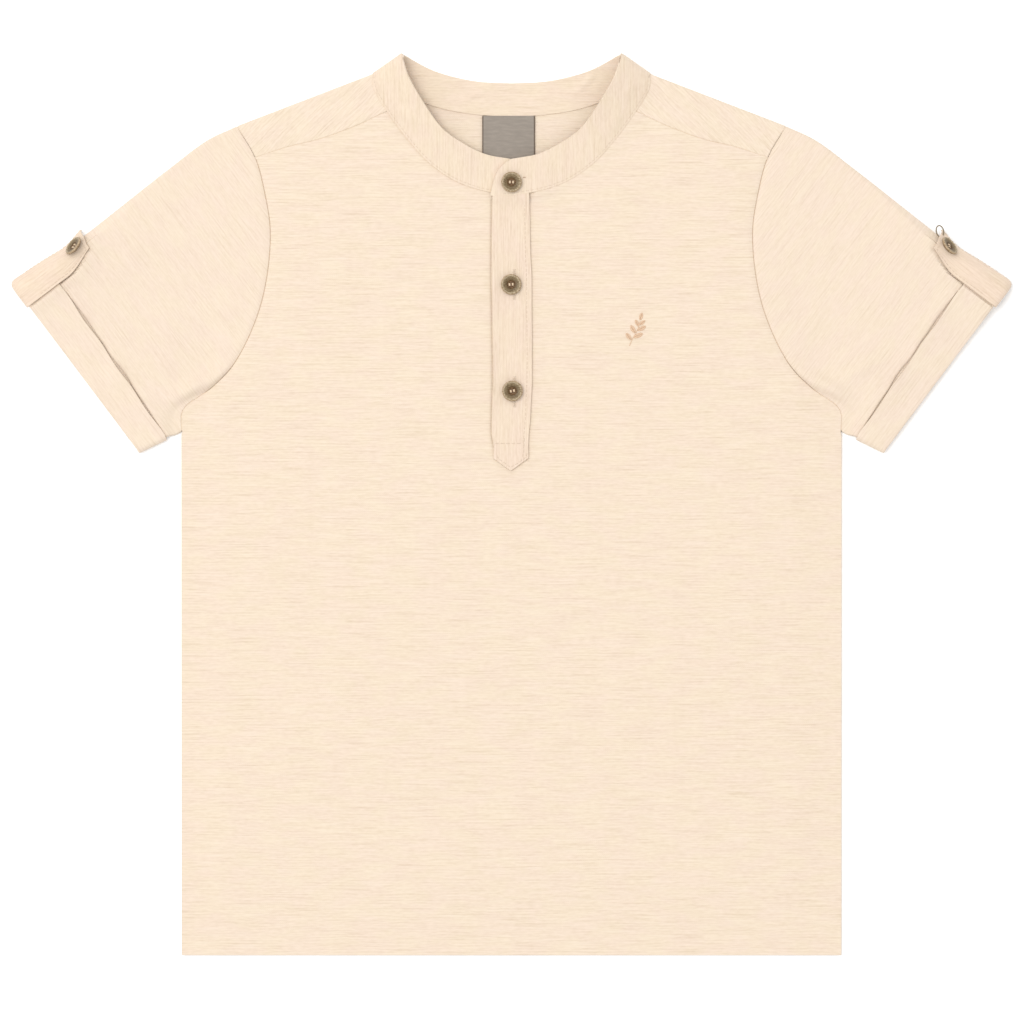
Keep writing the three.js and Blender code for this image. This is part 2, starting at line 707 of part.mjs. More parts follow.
function sleeveTopHeight(lie, across) {
  const start = armholePath(across);
  const open = mix(2 * FOLD_RADIUS, 2 * lie.underRadius, smooth(across));
  const settled = lie.low + open + lie.roll * (1 - smooth(across / ROLLS.across));
  return mix(frontHeight(start.x, start.y), settled, smooth(lie.share / SETTLES.front));
}

// One ring of the sleeve, as centres with the way each faces and the bend it turns about
function sleeveRing(share) {
  const lie = sleeveLie(share);
  const ring = [];
  const highInset = lie.topInset + lie.rollRun;
  const topZ = sleeveTopHeight(lie, 0);
  for (const across of ACROSS.toReversed()) {
    ring.push({ spot: acrossSleeve(lie, across, lie.topInset), z: lie.low, facing: DOWN });
  }
  const turnAt = (angle, inset, centre, radius, way, across) => {
    const turn = turned(angle);
    const spot = acrossSleeve(lie, across, inset).addScaledVector(way, turn.x * radius);
    const facing = new THREE.Vector3(way.x * turn.x, way.y * turn.x, turn.y);
    ring.push({ spot, z: centre + turn.y * radius, facing });
  };
  for (const angle of LOW_ARC) {
    turnAt(angle, lie.topInset, lie.low + FOLD_RADIUS, FOLD_RADIUS, lie.topTurn, 0);
  }
  for (const angle of HIGH_ARC) {
    turnAt(angle, highInset, topZ - FOLD_RADIUS, FOLD_RADIUS, lie.topTurn, 0);
  }
  for (const across of ACROSS) {
    const spot = acrossSleeve(lie, across, highInset);
    ring.push({ spot, z: sleeveTopHeight(lie, across), facing: UP, across });
  }
  const underRadius = (sleeveTopHeight(lie, 1) - lie.low) / 2;
  for (const angle of UNDERARM_ARC) {
    turnAt(angle, highInset, lie.low + underRadius, underRadius, lie.underTurn, 1);
  }
  return ring;
}

function cuffBulge(across) {
  return CUFF_BULGES.reduce((sum, bulge) => {
    const away = (across - bulge.place) / bulge.width;
    return sum + bulge.height * Math.exp(-away * away);
  }, 0);
}

// The rows of the tube: along the sleeve, round the hem and back up the cuff
function sleeveRows() {
  const rows = [];
  for (let i = 0; i <= SLEEVE_ROWS; i++) {
    rows.push({ share: i / SLEEVE_ROWS, angle: -90 });
  }
  for (let i = 1; i < CUFF_ROWS; i++) {
    rows.push({ share: 1 + i / CUFF_ROWS, angle: -90 });
  }
  TURN_ARC.forEach((angle) => rows.push({ share: 2, angle }));
  for (let i = CUFF_ROWS - 1; i >= 0; i--) {
    rows.push({ share: 1 + i / CUFF_ROWS, angle: 90 });
  }
  return rows;
}

function sleeveSheet() {
  const rows = sleeveRows();
  const rings = new Map(rows.map(({ share }) => [share, sleeveRing(share)]));
  const columns = rings.get(0).length;
  return faced(gridSheet(rows.length - 1, columns, (i, j) => {
    const { share, angle } = rows[i];
    const place = rings.get(share)[j];
    const turn = turned(angle);
    const point = new THREE.Vector3(place.spot.x, place.spot.y, place.z);
    point.addScaledVector(place.facing, TURN_RADIUS * (1 + turn.y));
    point.x += hemWay.x * TURN_RADIUS * turn.x;
    point.y += hemWay.y * TURN_RADIUS * turn.x;
    const normal = place.facing.clone().multiplyScalar(-turn.y);
    normal.x -= hemWay.x * turn.x;
    normal.y -= hemWay.y * turn.x;
    if (angle === 90 && place.across !== undefined) {
      point.z += cuffBulge(place.across) * (2 - share) ** 2;
    }
    return { point, normal: normal.normalize() };
  }, true));
}

const sleeve = sleeveSheet();
addPiece("sleeve_left", wallGeometry(sleeve, CLOTH), 0xfce8d2);
addPiece("sleeve_right", wallGeometry(flipped(sleeve), CLOTH), 0xfce8d2);

// Tab: sewn in at the hem, it comes round the cuff and lies over the fold to its pointed tip
const TAB_HOOK = [-45, -5, 40];
const TAB_COLUMNS = 4;
const TAB_HIGH_ARC = [90, 66, 42];
const TAB_LOW_ARC = [15, -12];
const HOOK_RADIUS = TURN_RADIUS + LAYER;

function tabRow(station, angle) {
  const turn = turned(angle);
  const off = (full) => TURN_RADIUS + (turn.y < 0 ? HOOK_RADIUS : full - TURN_RADIUS) * turn.y;
  const beyond = hemWay.clone().multiplyScalar(HOOK_RADIUS * turn.x);
  const inCuff = station.along <= cuffDepth;
  const share = inCuff ? 2 - station.along / cuffDepth : 1 - (station.along - cuffDepth) / topLength;
  const lie = sleeveLie(share);
  const hemStep = Math.max(0, share - 1) * (TURN_RADIUS + CLOTH / 2);
  const inner = new THREE.Vector2(station.innerX, station.innerY).addScaledVector(hemWay, -hemStep);
  return { lie, inner, beyond, stand: off(station.stand), lift: off(station.lift) };
}

function tabPoint(row, column) {
  const { lie, inner, beyond, stand, lift } = row;
  const high = acrossSleeve(lie, 0, lie.topInset + lie.rollRun);
  if (column < TAB_COLUMNS) {
    const share = column / TAB_COLUMNS;
    const spot = inner.clone().lerp(high, share);
    const across = (1 - share) * (inner.distanceTo(high) / lie.top.distanceTo(lie.under));
    return new THREE.Vector3(spot.x + beyond.x, spot.y + beyond.y, sleeveTopHeight(lie, across) + lift);
  }
  const step = column - TAB_COLUMNS;
  const onHigh = step < TAB_HIGH_ARC.length;
  const turn = turned(onHigh ? TAB_HIGH_ARC[step] : TAB_LOW_ARC[step - TAB_HIGH_ARC.length]);
  const centre = onHigh ? high : acrossSleeve(lie, 0, lie.topInset);
  const level = onHigh ? sleeveTopHeight(lie, 0) - FOLD_RADIUS : lie.low + FOLD_RADIUS;
  centre.addScaledVector(lie.topTurn, turn.x * (FOLD_RADIUS + stand)).add(beyond);
  return new THREE.Vector3(centre.x, centre.y, level + turn.y * (FOLD_RADIUS + lift));
}

function tabSheet() {
  const hook = TAB_HOOK.map((angle) => tabRow(TAB_STATIONS[0], angle));
  const rows = [...hook, ...TAB_STATIONS.map((station) => tabRow(station, 90))];
  const columns = TAB_COLUMNS + TAB_HIGH_ARC.length + TAB_LOW_ARC.length - 1;
  return gridSheet(rows.length - 1, columns, (i, j) => ({ point: tabPoint(rows[i], j) }));
}

const tab = tabSheet();
addPiece("tab_left", wallGeometry(tab, CLOTH), 0xfae3cb);
addPiece("tab_right", wallGeometry(flipped(tab), CLOTH), 0xfae3cb);

// Label: a flat woven piece sewn into the back neck seam, lying on the back
const labelWidth = LABEL.right - LABEL.left;
const label = addPiece("label", new THREE.BoxGeometry(labelWidth, LABEL.length, CLOTH), 0xa49b8d, 0.7);
label.position.set((LABEL.left + LABEL.right) / 2, LABEL.top - LABEL.length / 2, BACK_Z + LAYER);

// Buttons: turned discs with a rounded rim and a dished face, sewn on by thread
function buttonGeometry() {
  const { radius, height, dish, depth, bevel, sides } = BUTTON;
  const profile = [
    [0, 0],
    [radius - bevel, 0],
    [radius, bevel],
    [radius, height - bevel],
    [radius - bevel, height],
    [dish, height],
    [dish - depth, height - depth],
    [0, height - depth],
  ].map(([reach, level]) => new THREE.Vector2(reach, level));
  return new THREE.LatheGeometry(profile, sides).rotateX(Math.PI / 2);
}

FRONT_BUTTONS.forEach(({ x, y }, i) => {
  const button = addPiece(`button_${i + 1}`, buttonGeometry(), 0xb8a38a, 0.45);
  const cloth = i === 0 ? OVER_END_Z + BAND / 2 : frontHeight(x, y) + LAYER + CLOTH / 2;
  button.position.set(x, y, cloth + SEAM);
});

for (const [name, side] of [["button_sleeve_left", 1], ["button_sleeve_right", -1]]) {
  const { x, y, z, tilt, heading } = SLEEVE_BUTTON;
  const lean = turned(90 - tilt);
  const way = turned(heading);
  const facing = new THREE.Vector3(side * way.x * lean.x, way.y * lean.x, lean.y);
  const button = addPiece(name, buttonGeometry(), 0xb8a38a, 0.45);
  button.position.set(side * x, y, z).addScaledVector(facing, -BUTTON.height / 2);
  button.quaternion.setFromUnitVectors(UP, facing);
}

export default shirt;
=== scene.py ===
# A child's short-sleeved henley shirt in slub linen, laid flat on its back on a white table.
# Sizes are in millimetres until a mesh is made. X is the wearer's left, Y runs to the collar.
import math
from types import SimpleNamespace

import bpy
import numpy as np
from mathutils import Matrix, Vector
from mathutils.geometry import delaunay_2d_cdt


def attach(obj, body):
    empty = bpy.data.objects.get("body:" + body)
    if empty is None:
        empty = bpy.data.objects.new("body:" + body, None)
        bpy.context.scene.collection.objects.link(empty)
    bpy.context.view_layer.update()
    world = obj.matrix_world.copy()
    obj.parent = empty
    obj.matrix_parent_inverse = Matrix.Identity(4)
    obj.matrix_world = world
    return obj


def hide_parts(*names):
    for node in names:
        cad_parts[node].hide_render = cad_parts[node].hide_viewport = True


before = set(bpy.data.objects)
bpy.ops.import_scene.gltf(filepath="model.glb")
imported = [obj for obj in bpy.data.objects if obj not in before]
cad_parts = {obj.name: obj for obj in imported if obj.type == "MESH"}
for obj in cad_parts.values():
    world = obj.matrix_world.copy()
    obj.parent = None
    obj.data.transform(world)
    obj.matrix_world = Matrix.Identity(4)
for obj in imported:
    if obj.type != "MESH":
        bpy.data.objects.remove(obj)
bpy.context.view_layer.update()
scene = bpy.context.scene

# Table, light and camera
# The shirt was photographed from straight above on plain white, under an even studio light.
# A white sky gives that evenness, and one soft lamp at the upper left draws the folds.
MM = 0.001
METRE = 1000.0
TABLE_SIZE = 9.0
TABLE_WHITE = (0.99, 0.99, 0.99, 1)
TABLE_ROUGHNESS = 0.9
SKY_STRENGTH = 0.98
LAMP = {"place": (-1.4, 0.95, 4.05), "size": 2.6, "watts": 100}
# How bright a white cloth comes out under the two: colours are divided by it
LIGHT = 1.4
LENS = 300
SENSOR = 36
VIEW_WIDTH = 552.96
VIEW_MIDDLE = (0.27, -4.32)
SHIRT_LEVEL = 3.0

scene.view_settings.view_transform = "Standard"
scene.view_settings.look = "None"

sky = bpy.data.worlds.new("studio_sky")
sky.use_nodes = True
sky.node_tree.nodes["Background"].inputs["Color"].default_value = (1, 1, 1, 1)
sky.node_tree.nodes["Background"].inputs["Strength"].default_value = SKY_STRENGTH
scene.world = sky

lamp = bpy.data.objects.new("lamp", bpy.data.lights.new("lamp", "AREA"))
lamp.data.size = LAMP["size"]
lamp.data.energy = LAMP["watts"]
lamp.location = LAMP["place"]
lamp.rotation_euler = (-Vector(LAMP["place"])).to_track_quat("-Z", "Y").to_euler()
scene.collection.objects.link(lamp)

camera = bpy.data.objects.new("camera", bpy.data.cameras.new("camera"))
camera.data.lens = LENS
camera.data.sensor_width = SENSOR
camera_height = VIEW_WIDTH / 2 * LENS / (SENSOR / 2) + SHIRT_LEVEL
camera.location = (VIEW_MIDDLE[0] * MM, VIEW_MIDDLE[1] * MM, camera_height * MM)
scene.collection.objects.link(camera)
scene.camera = camera

half = TABLE_SIZE / 2
corners = [(-half, -half, 0), (half, -half, 0), (half, half, 0), (-half, half, 0)]
table_mesh = bpy.data.meshes.new("table")
table_mesh.from_pydata(corners, [], [(0, 1, 2, 3)])
table = bpy.data.objects.new("table", table_mesh)
scene.collection.objects.link(table)
table_paint = bpy.data.materials.new("table_white")
table_paint.use_nodes = True
table_paint.node_tree.nodes["Principled BSDF"].inputs["Base Color"].default_value = TABLE_WHITE
table_paint.node_tree.nodes["Principled BSDF"].inputs["Roughness"].default_value = TABLE_ROUGHNESS
table_mesh.materials.append(table_paint)

# Back
# One piece of linen from hem to neck. It lies flat on the table, turns over at the shoulder
# fold and comes forward to the shoulder seam, so that its top strip shows beside the front.
HALF_BODY = 178
HEM_Y = -243.5
WALL = 0.9
SEAM = 0.3
# Where two pieces are seamed, both roll down to the seam over this width
SEAM_LIP = 0.46
SHOULDER_LIP = 0.36
# The two rims lap by this much, so that no gap opens between them
LIP_LAP = 0.05
# How far the cloth beside an armhole sinks to its seam
ARM_DIP = {"depth": 1.1, "reach": 1.4}
FREE_EDGE = 0.16
# The neck edge is tucked into the doubled band
NECK_TUCK = -1.6
NECK_RISE = 0.64
LAYER = 1.3
BACK_Z = 0.5
FOLD_RADIUS = 1.2
FRONT_Z = BACK_Z + 2 * FOLD_RADIUS
BACK_CELL = 3.4
EDGE_CELL = 2.0
ARMHOLE = [
    (148.2, 204.1), (138.5, 187.4), (133.4, 168.8), (130.2, 145.3), (135.2, 108.2),
    (149.3, 76.5), (161.6, 63.2), (177.4, 50.9), (178.15, 38.9),
]
SHOULDER_SEAM = [(138.5, 187.4), (119.8, 193.2), (104.7, 196.8), (84.5, 204.1), (67.2, 212.2)]
FRONT_NECK = [
    (75.3, 232.7), (74.3, 224.6), (67.2, 212.2), (54.4, 195.0),
    (44.6, 184.3), (32.0, 175.3), (18.5, 169.9), (0, 166.2),
]
BACK_NECK = [(75.3, 232.7), (60.5, 222.9), (48.2, 217.0), (35.2, 212.9), (16.4, 210.0), (0, 209.2)]
# Each crease: its two ends, how far it bows, its half width and its height
BACK_CREASES = [
    (-150, -60, -96, -84, 5, 6, 0.35), (-60, 20, -22, 62, -4, 5, 0.3), (84, -30, 140, -12, 6, 7, 0.35),
    (30, -150, 96, -166, 5, 6, 0.3), (-120, 96, -70, 120, 4, 5, 0.3), (60, 110, 108, 84, -5, 5, 0.3),
]
SHOULDER_CREASES = [
    (-112, 204, -84, 209, 3, 4, 0.5), (-86, 203, -76, 212, 1, 3, 0.5), (92, 208, 120, 201, -3, 5, 0.4),
]
LINEN = (252, 232, 209)
# How far the thick, thin and brightest threads lie from the cloth's own colour
LINEN_RISE = ((-15, -16, -18), (3, 4, 5), (4, 7, 9))
# Each yarn takes this much room, and the weft is beaten up in faint ribs
YARN = 0.56
RIB = 1.55


def smooth(value):
    t = np.clip(value, 0, 1)
    return t * t * (3 - 2 * t)


def mix(a, b, t):
    return a + (b - a) * t


def turned(degrees):
    return np.stack([np.cos(np.radians(degrees)), np.sin(np.radians(degrees))], -1)


def unit(way):
    return way / np.linalg.norm(way, axis=-1, keepdims=True)


class Run:
    """A smooth line through a table's points, read by the share of its length."""

    def __init__(self, table, fine=24):
        knots = np.array(table, float)
        knots = np.vstack([2 * knots[0] - knots[1], knots, 2 * knots[-1] - knots[-2]])
        gaps = np.sqrt(np.linalg.norm(np.diff(knots, axis=0), axis=1)) + 1e-9
        t = np.linspace(0, 1, fine, endpoint=False)[:, None]
        parts = []
        for i in range(len(knots) - 3):
            p0, p1, p2, p3 = knots[i:i + 4]
            d0, d1, d2 = gaps[i:i + 3]
            m1 = ((p1 - p0) / d0 - (p2 - p0) / (d0 + d1) + (p2 - p1) / d1) * d1
            m2 = ((p2 - p1) / d1 - (p3 - p1) / (d1 + d2) + (p3 - p2) / d2) * d1
            parts.append((2 * t**3 - 3 * t**2 + 1) * p1 + (t**3 - 2 * t**2 + t) * m1
                         + (3 * t**2 - 2 * t**3) * p2 + (t**3 - t**2) * m2)
        self.dense = np.vstack([*parts, knots[-2:-1]])
        lengths = np.concatenate([[0], np.cumsum(np.linalg.norm(np.diff(self.dense, axis=0), axis=1))])
        self.length = lengths[-1]
        self.shares = lengths / self.length

    def at(self, share):
        return np.stack([np.interp(share, self.shares, column) for column in self.dense.T], -1)

    def points(self, step):
        """Even points along the whole line, about a step apart."""
        return self.at(np.linspace(0, 1, max(1, round(self.length / step)) + 1))


def shifted(points, distance):
    """Points moved to the left of their own run."""
    way = unit(np.vstack([points[1:2] - points[:1], points[2:] - points[:-2], points[-1:] - points[-2:-1]]))
    return points + np.stack([-way[:, 1], way[:, 0]], -1) * distance


def mirrored(points):
    return points[::-1] * (-1, 1)


def straight(a, b, step):
    """Even points from a to just before b."""
    a, b = np.array(a, float), np.array(b, float)
    count = max(1, round(np.linalg.norm(b - a) / step))
    return mix(a, b, np.arange(count)[:, None] / count)


def relief(x, y, creases):
    """The height that the listed creases add at a spot: soft ridges, or troughs where it is negative."""
    total = np.zeros(np.broadcast(x, y).shape)
    for x0, y0, x1, y1, bow, width, height in creases:
        long = math.hypot(x1 - x0, y1 - y0)
        along = ((x - x0) * (x1 - x0) + (y - y0) * (y1 - y0)) / long**2
        off = ((y - y0) * (x1 - x0) - (x - x0) * (y1 - y0)) / long - 4 * bow * along * (1 - along)
        ends = smooth(along / 0.45 + 0.2) * smooth((1 - along) / 0.45 + 0.2)
        total += height * np.exp(-(off / width) ** 2) * ends
    return total


def to_line(spots, line):
    """The distance from each spot to a line of points."""
    nearest = np.full(len(spots), np.inf)
    for p, q in zip(line, line[1:]):
        along = np.clip((spots - p) @ (q - p) / max((q - p) @ (q - p), 1e-9), 0, 1)
        nearest = np.minimum(nearest, np.linalg.norm(spots - p - along[:, None] * (q - p), axis=1))
    return nearest


def panel(outline, cell, more=()):
    """Triangles of a flat-cut panel: its outline, even points in it, and more where it bends sharply."""
    low, high = outline.min(0), outline.max(0)
    spots = []
    for i, y in enumerate(np.arange(low[1], high[1], cell * math.sqrt(0.75))):
        x = np.arange(low[0] + cell * (0.25 + i % 2 / 2), high[0], cell)
        spots.append(np.column_stack([x, np.full(len(x), y)]))
    spots = np.vstack(spots)
    ring = np.vstack([outline, outline[:1]])
    within = np.zeros(len(spots), bool)
    for p, q in zip(ring, ring[1:]):
        crosses = (p[1] > spots[:, 1]) != (q[1] > spots[:, 1])
        if p[1] != q[1]:
            reach = (q[0] - p[0]) * (spots[:, 1] - p[1]) / (q[1] - p[1]) + p[0]
            within ^= crosses & (spots[:, 0] < reach)
    spots = spots[within & (to_line(spots, ring) > 0.55 * cell)]
    if len(more):
        clear = np.array([np.hypot(*(more - spot).T).min() > 0.35 * cell for spot in spots])
        spots = np.vstack([spots[clear], more])
    places = [Vector(spot) for spot in np.vstack([outline, spots])]
    made = delaunay_2d_cdt(places, [], [list(range(len(outline)))], 1, 1e-6)
    return np.array([tuple(v) for v in made[0]]), np.array([list(face) for face in made[2]])


def grid_faces(rows, columns, closed=False):
    """Corners of the squares between rows and columns of points, as row and unwrapped column."""
    i, j = np.meshgrid(np.arange(rows), np.arange(columns), indexing="ij")
    corners = [(i, j), (i, j + 1), (i + 1, j + 1), (i + 1, j)]
    wide = columns if closed else columns + 1
    numbers = np.stack([r * wide + (c % wide if closed else c) for r, c in corners], -1).reshape(-1, 4)
    spots = np.stack([r * (columns + 1) + c for r, c in corners], -1).reshape(-1, 4)
    return numbers, spots


def normals_of(points, faces):
    corner = points[faces]
    cross = np.cross(corner[:, 2] - corner[:, 0], corner[:, -1] - corner[:, 1])
    sums = np.zeros_like(points)
    for column in faces.T:
        np.add.at(sums, column, cross)
    return unit(sums + (0, 0, 1e-12))


def shown(name, vertices, faces, uv, material, sharp=40):
    """Links a mesh given in millimetres, with its cloth coordinates in metres."""
    mesh = bpy.data.meshes.new(name)
    mesh.from_pydata((np.asarray(vertices) * MM).tolist(), [], faces)
    layer = mesh.uv_layers.new(name="cloth")
    layer.data.foreach_set("uv", (np.asarray(uv, np.float32) * MM).ravel())
    mesh.shade_smooth()
    mesh.set_sharp_from_angle(angle=math.radians(sharp))
    mesh.materials.append(material)
    piece = bpy.data.objects.new(name, mesh)
    scene.collection.objects.link(piece)
    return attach(piece, "root")


def cloth(name, points, faces, uv, material, uv_under=None, thick=WALL, round_out=FREE_EDGE):
    """A piece of cloth: both faces, and a rim along each open edge that rounds out a little."""
    normals = normals_of(points, faces)
    count = len(points)
    first, second = faces.ravel(), np.roll(faces, -1, 1).ravel()
    open_edge = ~np.isin(second * count + first, first * count + second)
    uv_next = np.roll(uv, -1, 1).reshape(-1, 2)[open_edge]
    uv_first = uv.reshape(-1, 2)[open_edge]
    first, second = first[open_edge], second[open_edge]
    out = np.zeros_like(points)
    side = np.cross(points[second] - points[first], normals[first])
    np.add.at(out, first, side)
    np.add.at(out, second, side)
    rim = np.unique(first)
    number = np.zeros(count, int)
    number[rim] = np.arange(len(rim)) + 2 * count
    middle = points[rim] + unit(out[rim]) * np.broadcast_to(round_out, count)[rim, None]
    vertices = np.vstack([points + normals * thick / 2, points - normals * thick / 2, middle])
    upper = np.stack([second, first, number[first], number[second]], -1)
    lower = np.stack([number[second], number[first], first + count, second + count], -1)
    uv_rim = np.stack([uv_next, uv_first, uv_first, uv_next], 1)
    under = uv if uv_under is None else uv_under
    all_faces = faces.tolist() + (faces[:, ::-1] + count).tolist() + upper.tolist() + lower.tolist()
    all_uv = np.vstack([part.reshape(-1, 2) for part in (uv, under[:, ::-1], uv_rim, uv_rim)])
    return shown(name, vertices, all_faces, all_uv, material)


class Wire:
    """A value on its way through a material. Arithmetic on it adds Math nodes."""

    def __init__(self, tree, socket=None):
        self.tree = tree
        self.socket = socket

    def node(self, kind, settings, sockets, output=0):
        made = self.tree.nodes.new(kind)
        for name, value in settings.items():
            if name == "stops":
                made.color_ramp.elements.remove(made.color_ramp.elements[1])
                for place, colour in value[1:]:
                    made.color_ramp.elements.new(place).color = colour
                made.color_ramp.elements[0].position, made.color_ramp.elements[0].color = value[0]
            else:
                setattr(made, name, value)
        for name, value in sockets.items():
            if isinstance(value, Wire):
                self.tree.links.new(value.socket, made.inputs[name])
            else:
                made.inputs[name].default_value = value
        return Wire(self.tree, made.outputs[output])

    def maths(self, operation, first, second=0.0):
        return self.node("ShaderNodeMath", {"operation": operation}, {0: first, 1: second})

    def __add__(self, other):
        return self.maths("ADD", self, other)

    def __sub__(self, other):
        return self.maths("SUBTRACT", self, other)

    def __rsub__(self, other):
        return self.maths("SUBTRACT", other, self)

    def __mul__(self, other):
        return self.maths("MULTIPLY", self, other)

    def __truediv__(self, other):
        return self.maths("DIVIDE", self, other)

    __radd__ = __add__
    __rmul__ = __mul__

    def root(self):
        return self.maths("SQRT", self)

    def sine(self):
        return self.maths("SINE", self)

    def step(self, low, high):
        """0 below low and 1 above high, with a soft change between."""
        settings = {"interpolation_type": "SMOOTHSTEP"}
        return self.node("ShaderNodeMapRange", settings, {"Value": self, "From Min": low, "From Max": high})

    def blend(self, first, second):
        """A colour from first to second, by this value."""
        settings = {"data_type": "RGBA", "blend_type": "MIX"}
        return self.node("ShaderNodeMix", settings, {"Factor": self, 6: first, 7: second}, 2)

    def times(self, colour, share=1.0):
        """This colour multiplied by another, as far as the share says."""
        settings = {"data_type": "RGBA", "blend_type": "MULTIPLY"}
        return self.node("ShaderNodeMix", settings, {0: share, 6: self, 7: colour}, 2)

    def bump(self, strength):
        """The shading of a surface with this height, in millimetres."""
        return self.node("ShaderNodeBump", {}, {"Height": self, "Strength": strength, "Distance": MM})

    def feeds(self, shader, name):
        """Leads this value to one of the shader's sockets."""
        self.tree.links.new(self.socket, shader.inputs[name])

    def flecks(self, across, long, wide, seed, detail=1.0):
        """Uneven streaks along this coordinate: noise drawn out to a length and width."""
        spot = self.node("ShaderNodeCombineXYZ", {}, {0: self / long + seed, 1: across / wide + seed})
        settings = {"noise_dimensions": "2D"}
        return self.node("ShaderNodeTexNoise", settings, {"Vector": spot, "Scale": 1.0, "Detail": detail})


def tint(colour):
    """The cloth or dye that looks like this screen colour under the studio's light."""
    return (*(((v / 255 + 0.055) / 1.055) ** 2.4 / LIGHT for v in colour), 1)


def plain_material(name):
    """A new material, its one shader, and the two cloth coordinates in millimetres."""
    material = bpy.data.materials.new(name)
    material.use_nodes = True
    wire = Wire(material.node_tree)
    place = wire.node("ShaderNodeUVMap", {"uv_map": "cloth"}, {})
    first, second = (wire.node("ShaderNodeSeparateXYZ", {}, {0: place}, k) * METRE for k in (0, 1))
    return material, material.node_tree.nodes["Principled BSDF"], first, second


def linen(name, colour, seed, depth=1.0):
    """Plain-woven linen with slubs in its weft, which runs along the first cloth coordinate.

    The depth is how strongly its thick and thin threads stand out.
    """
    material, shader, weft, warp = plain_material(name)
    row = warp + weft.flecks(warp, 46, 19, seed + 3.1) * 0.8
    yarn = weft.flecks(row, 14, 0.54, seed + 1.7, 2.0)
    slub = weft.flecks(row, 30, 0.78, seed + 11.3, 2.0)
    pale = weft.flecks(row, 22, 0.84, seed + 23.9, 1.0)
    knot = weft.flecks(row, 3.4, 0.85, seed + 31.4, 1.0)
    patch = weft.flecks(warp, 15, 7, seed + 5.9, 1.0).step(0.35, 0.7)
    rib = (row * (2 * math.pi / RIB)).sine() * patch
    blush = weft.flecks(warp, 17, 9, seed + 47.0, 2.0).step(0.3, 0.7)
    dark = slub.step(0.54, 0.76) * 0.44 + (yarn - 0.5) * 0.95 + (knot - 0.5) * 0.8 + rib * 0.13 + 0.27
    thick, thin, bright = (tint(np.array(colour) + depth * np.array(rise)) for rise in LINEN_RISE)
    ground = dark.blend(thin, thick)
    face = (pale.step(0.54, 0.74) * 0.55).blend(ground, bright)
    face = face.times(blush.blend((1, 0.986, 1, 1), (1, 1.002, 0.982, 1)))
    wave = (weft * (math.pi / YARN)).sine() * (row * (math.pi / YARN)).sine()
    height = wave * 0.02 + yarn * 0.07 + rib * 0.012 + slub.step(0.5, 0.75) * 0.05 + pale * 0.04
    bump = height.bump(0.7)
    face.feeds(shader, "Base Color")
    bump.feeds(shader, "Normal")
    (0.8 + yarn * 0.15).feeds(shader, "Roughness")
    shader.inputs["Sheen Weight"].default_value = 0.12
    shader.inputs["Sheen Roughness"].default_value = 0.6
    shader.inputs["Specular IOR Level"].default_value = 0.2
    return material


armhole = Run(ARMHOLE)
front_neck = Run(FRONT_NECK)
fold_way = unit(np.array(ARMHOLE[0]) - ARMHOLE[1])
shoulder_line = np.array(ARMHOLE[0]) - FRONT_NECK[0]
shoulder_way = unit(np.array([-shoulder_line[1], shoulder_line[0]]))


def armhole_spot(share, away):
    """A spot on the armhole seam, moved towards the sleeve."""
    share = np.asarray(share, float)
    way = unit(armhole.at(share + 0.01) - armhole.at(share - 0.01))
    return armhole.at(share) + np.stack([-way[..., 1], way[..., 0]], -1) * away


def body_side():
    return straight((HALF_BODY, HEM_Y), ARMHOLE[-1], EDGE_CELL)[1:]


def hem():
    return straight((-HALF_BODY, HEM_Y), (HALF_BODY, HEM_Y), EDGE_CELL)


def body_armhole(top):
    edge = armhole_spot(np.linspace(1, 0, 140), -SEAM_LIP)
    return edge[edge[:, 1] < top]


def arm_dip(x, y, away):
    """Front and sleeve sink where they meet at the armhole, as far as there is room below them."""
    room = np.maximum(0, front_height(x, y) - EDGE_Z)
    return -np.minimum(ARM_DIP["depth"], 0.5 * room) * (1 - smooth(away / ARM_DIP["reach"]))


def seam_lips(points):
    """How far each point's rim rolls out: less along the hem and the sides than at the seams."""
    return np.where(points[:, 1] > ARMHOLE[-1][1], SEAM_LIP + LIP_LAP, FREE_EDGE)


def tucked(seam):
    """The shoulder seam runs on into the neck band."""
    return np.vstack([seam, seam[-1:] - unit(seam[-1:] - seam[-2:-1]) * NECK_TUCK])


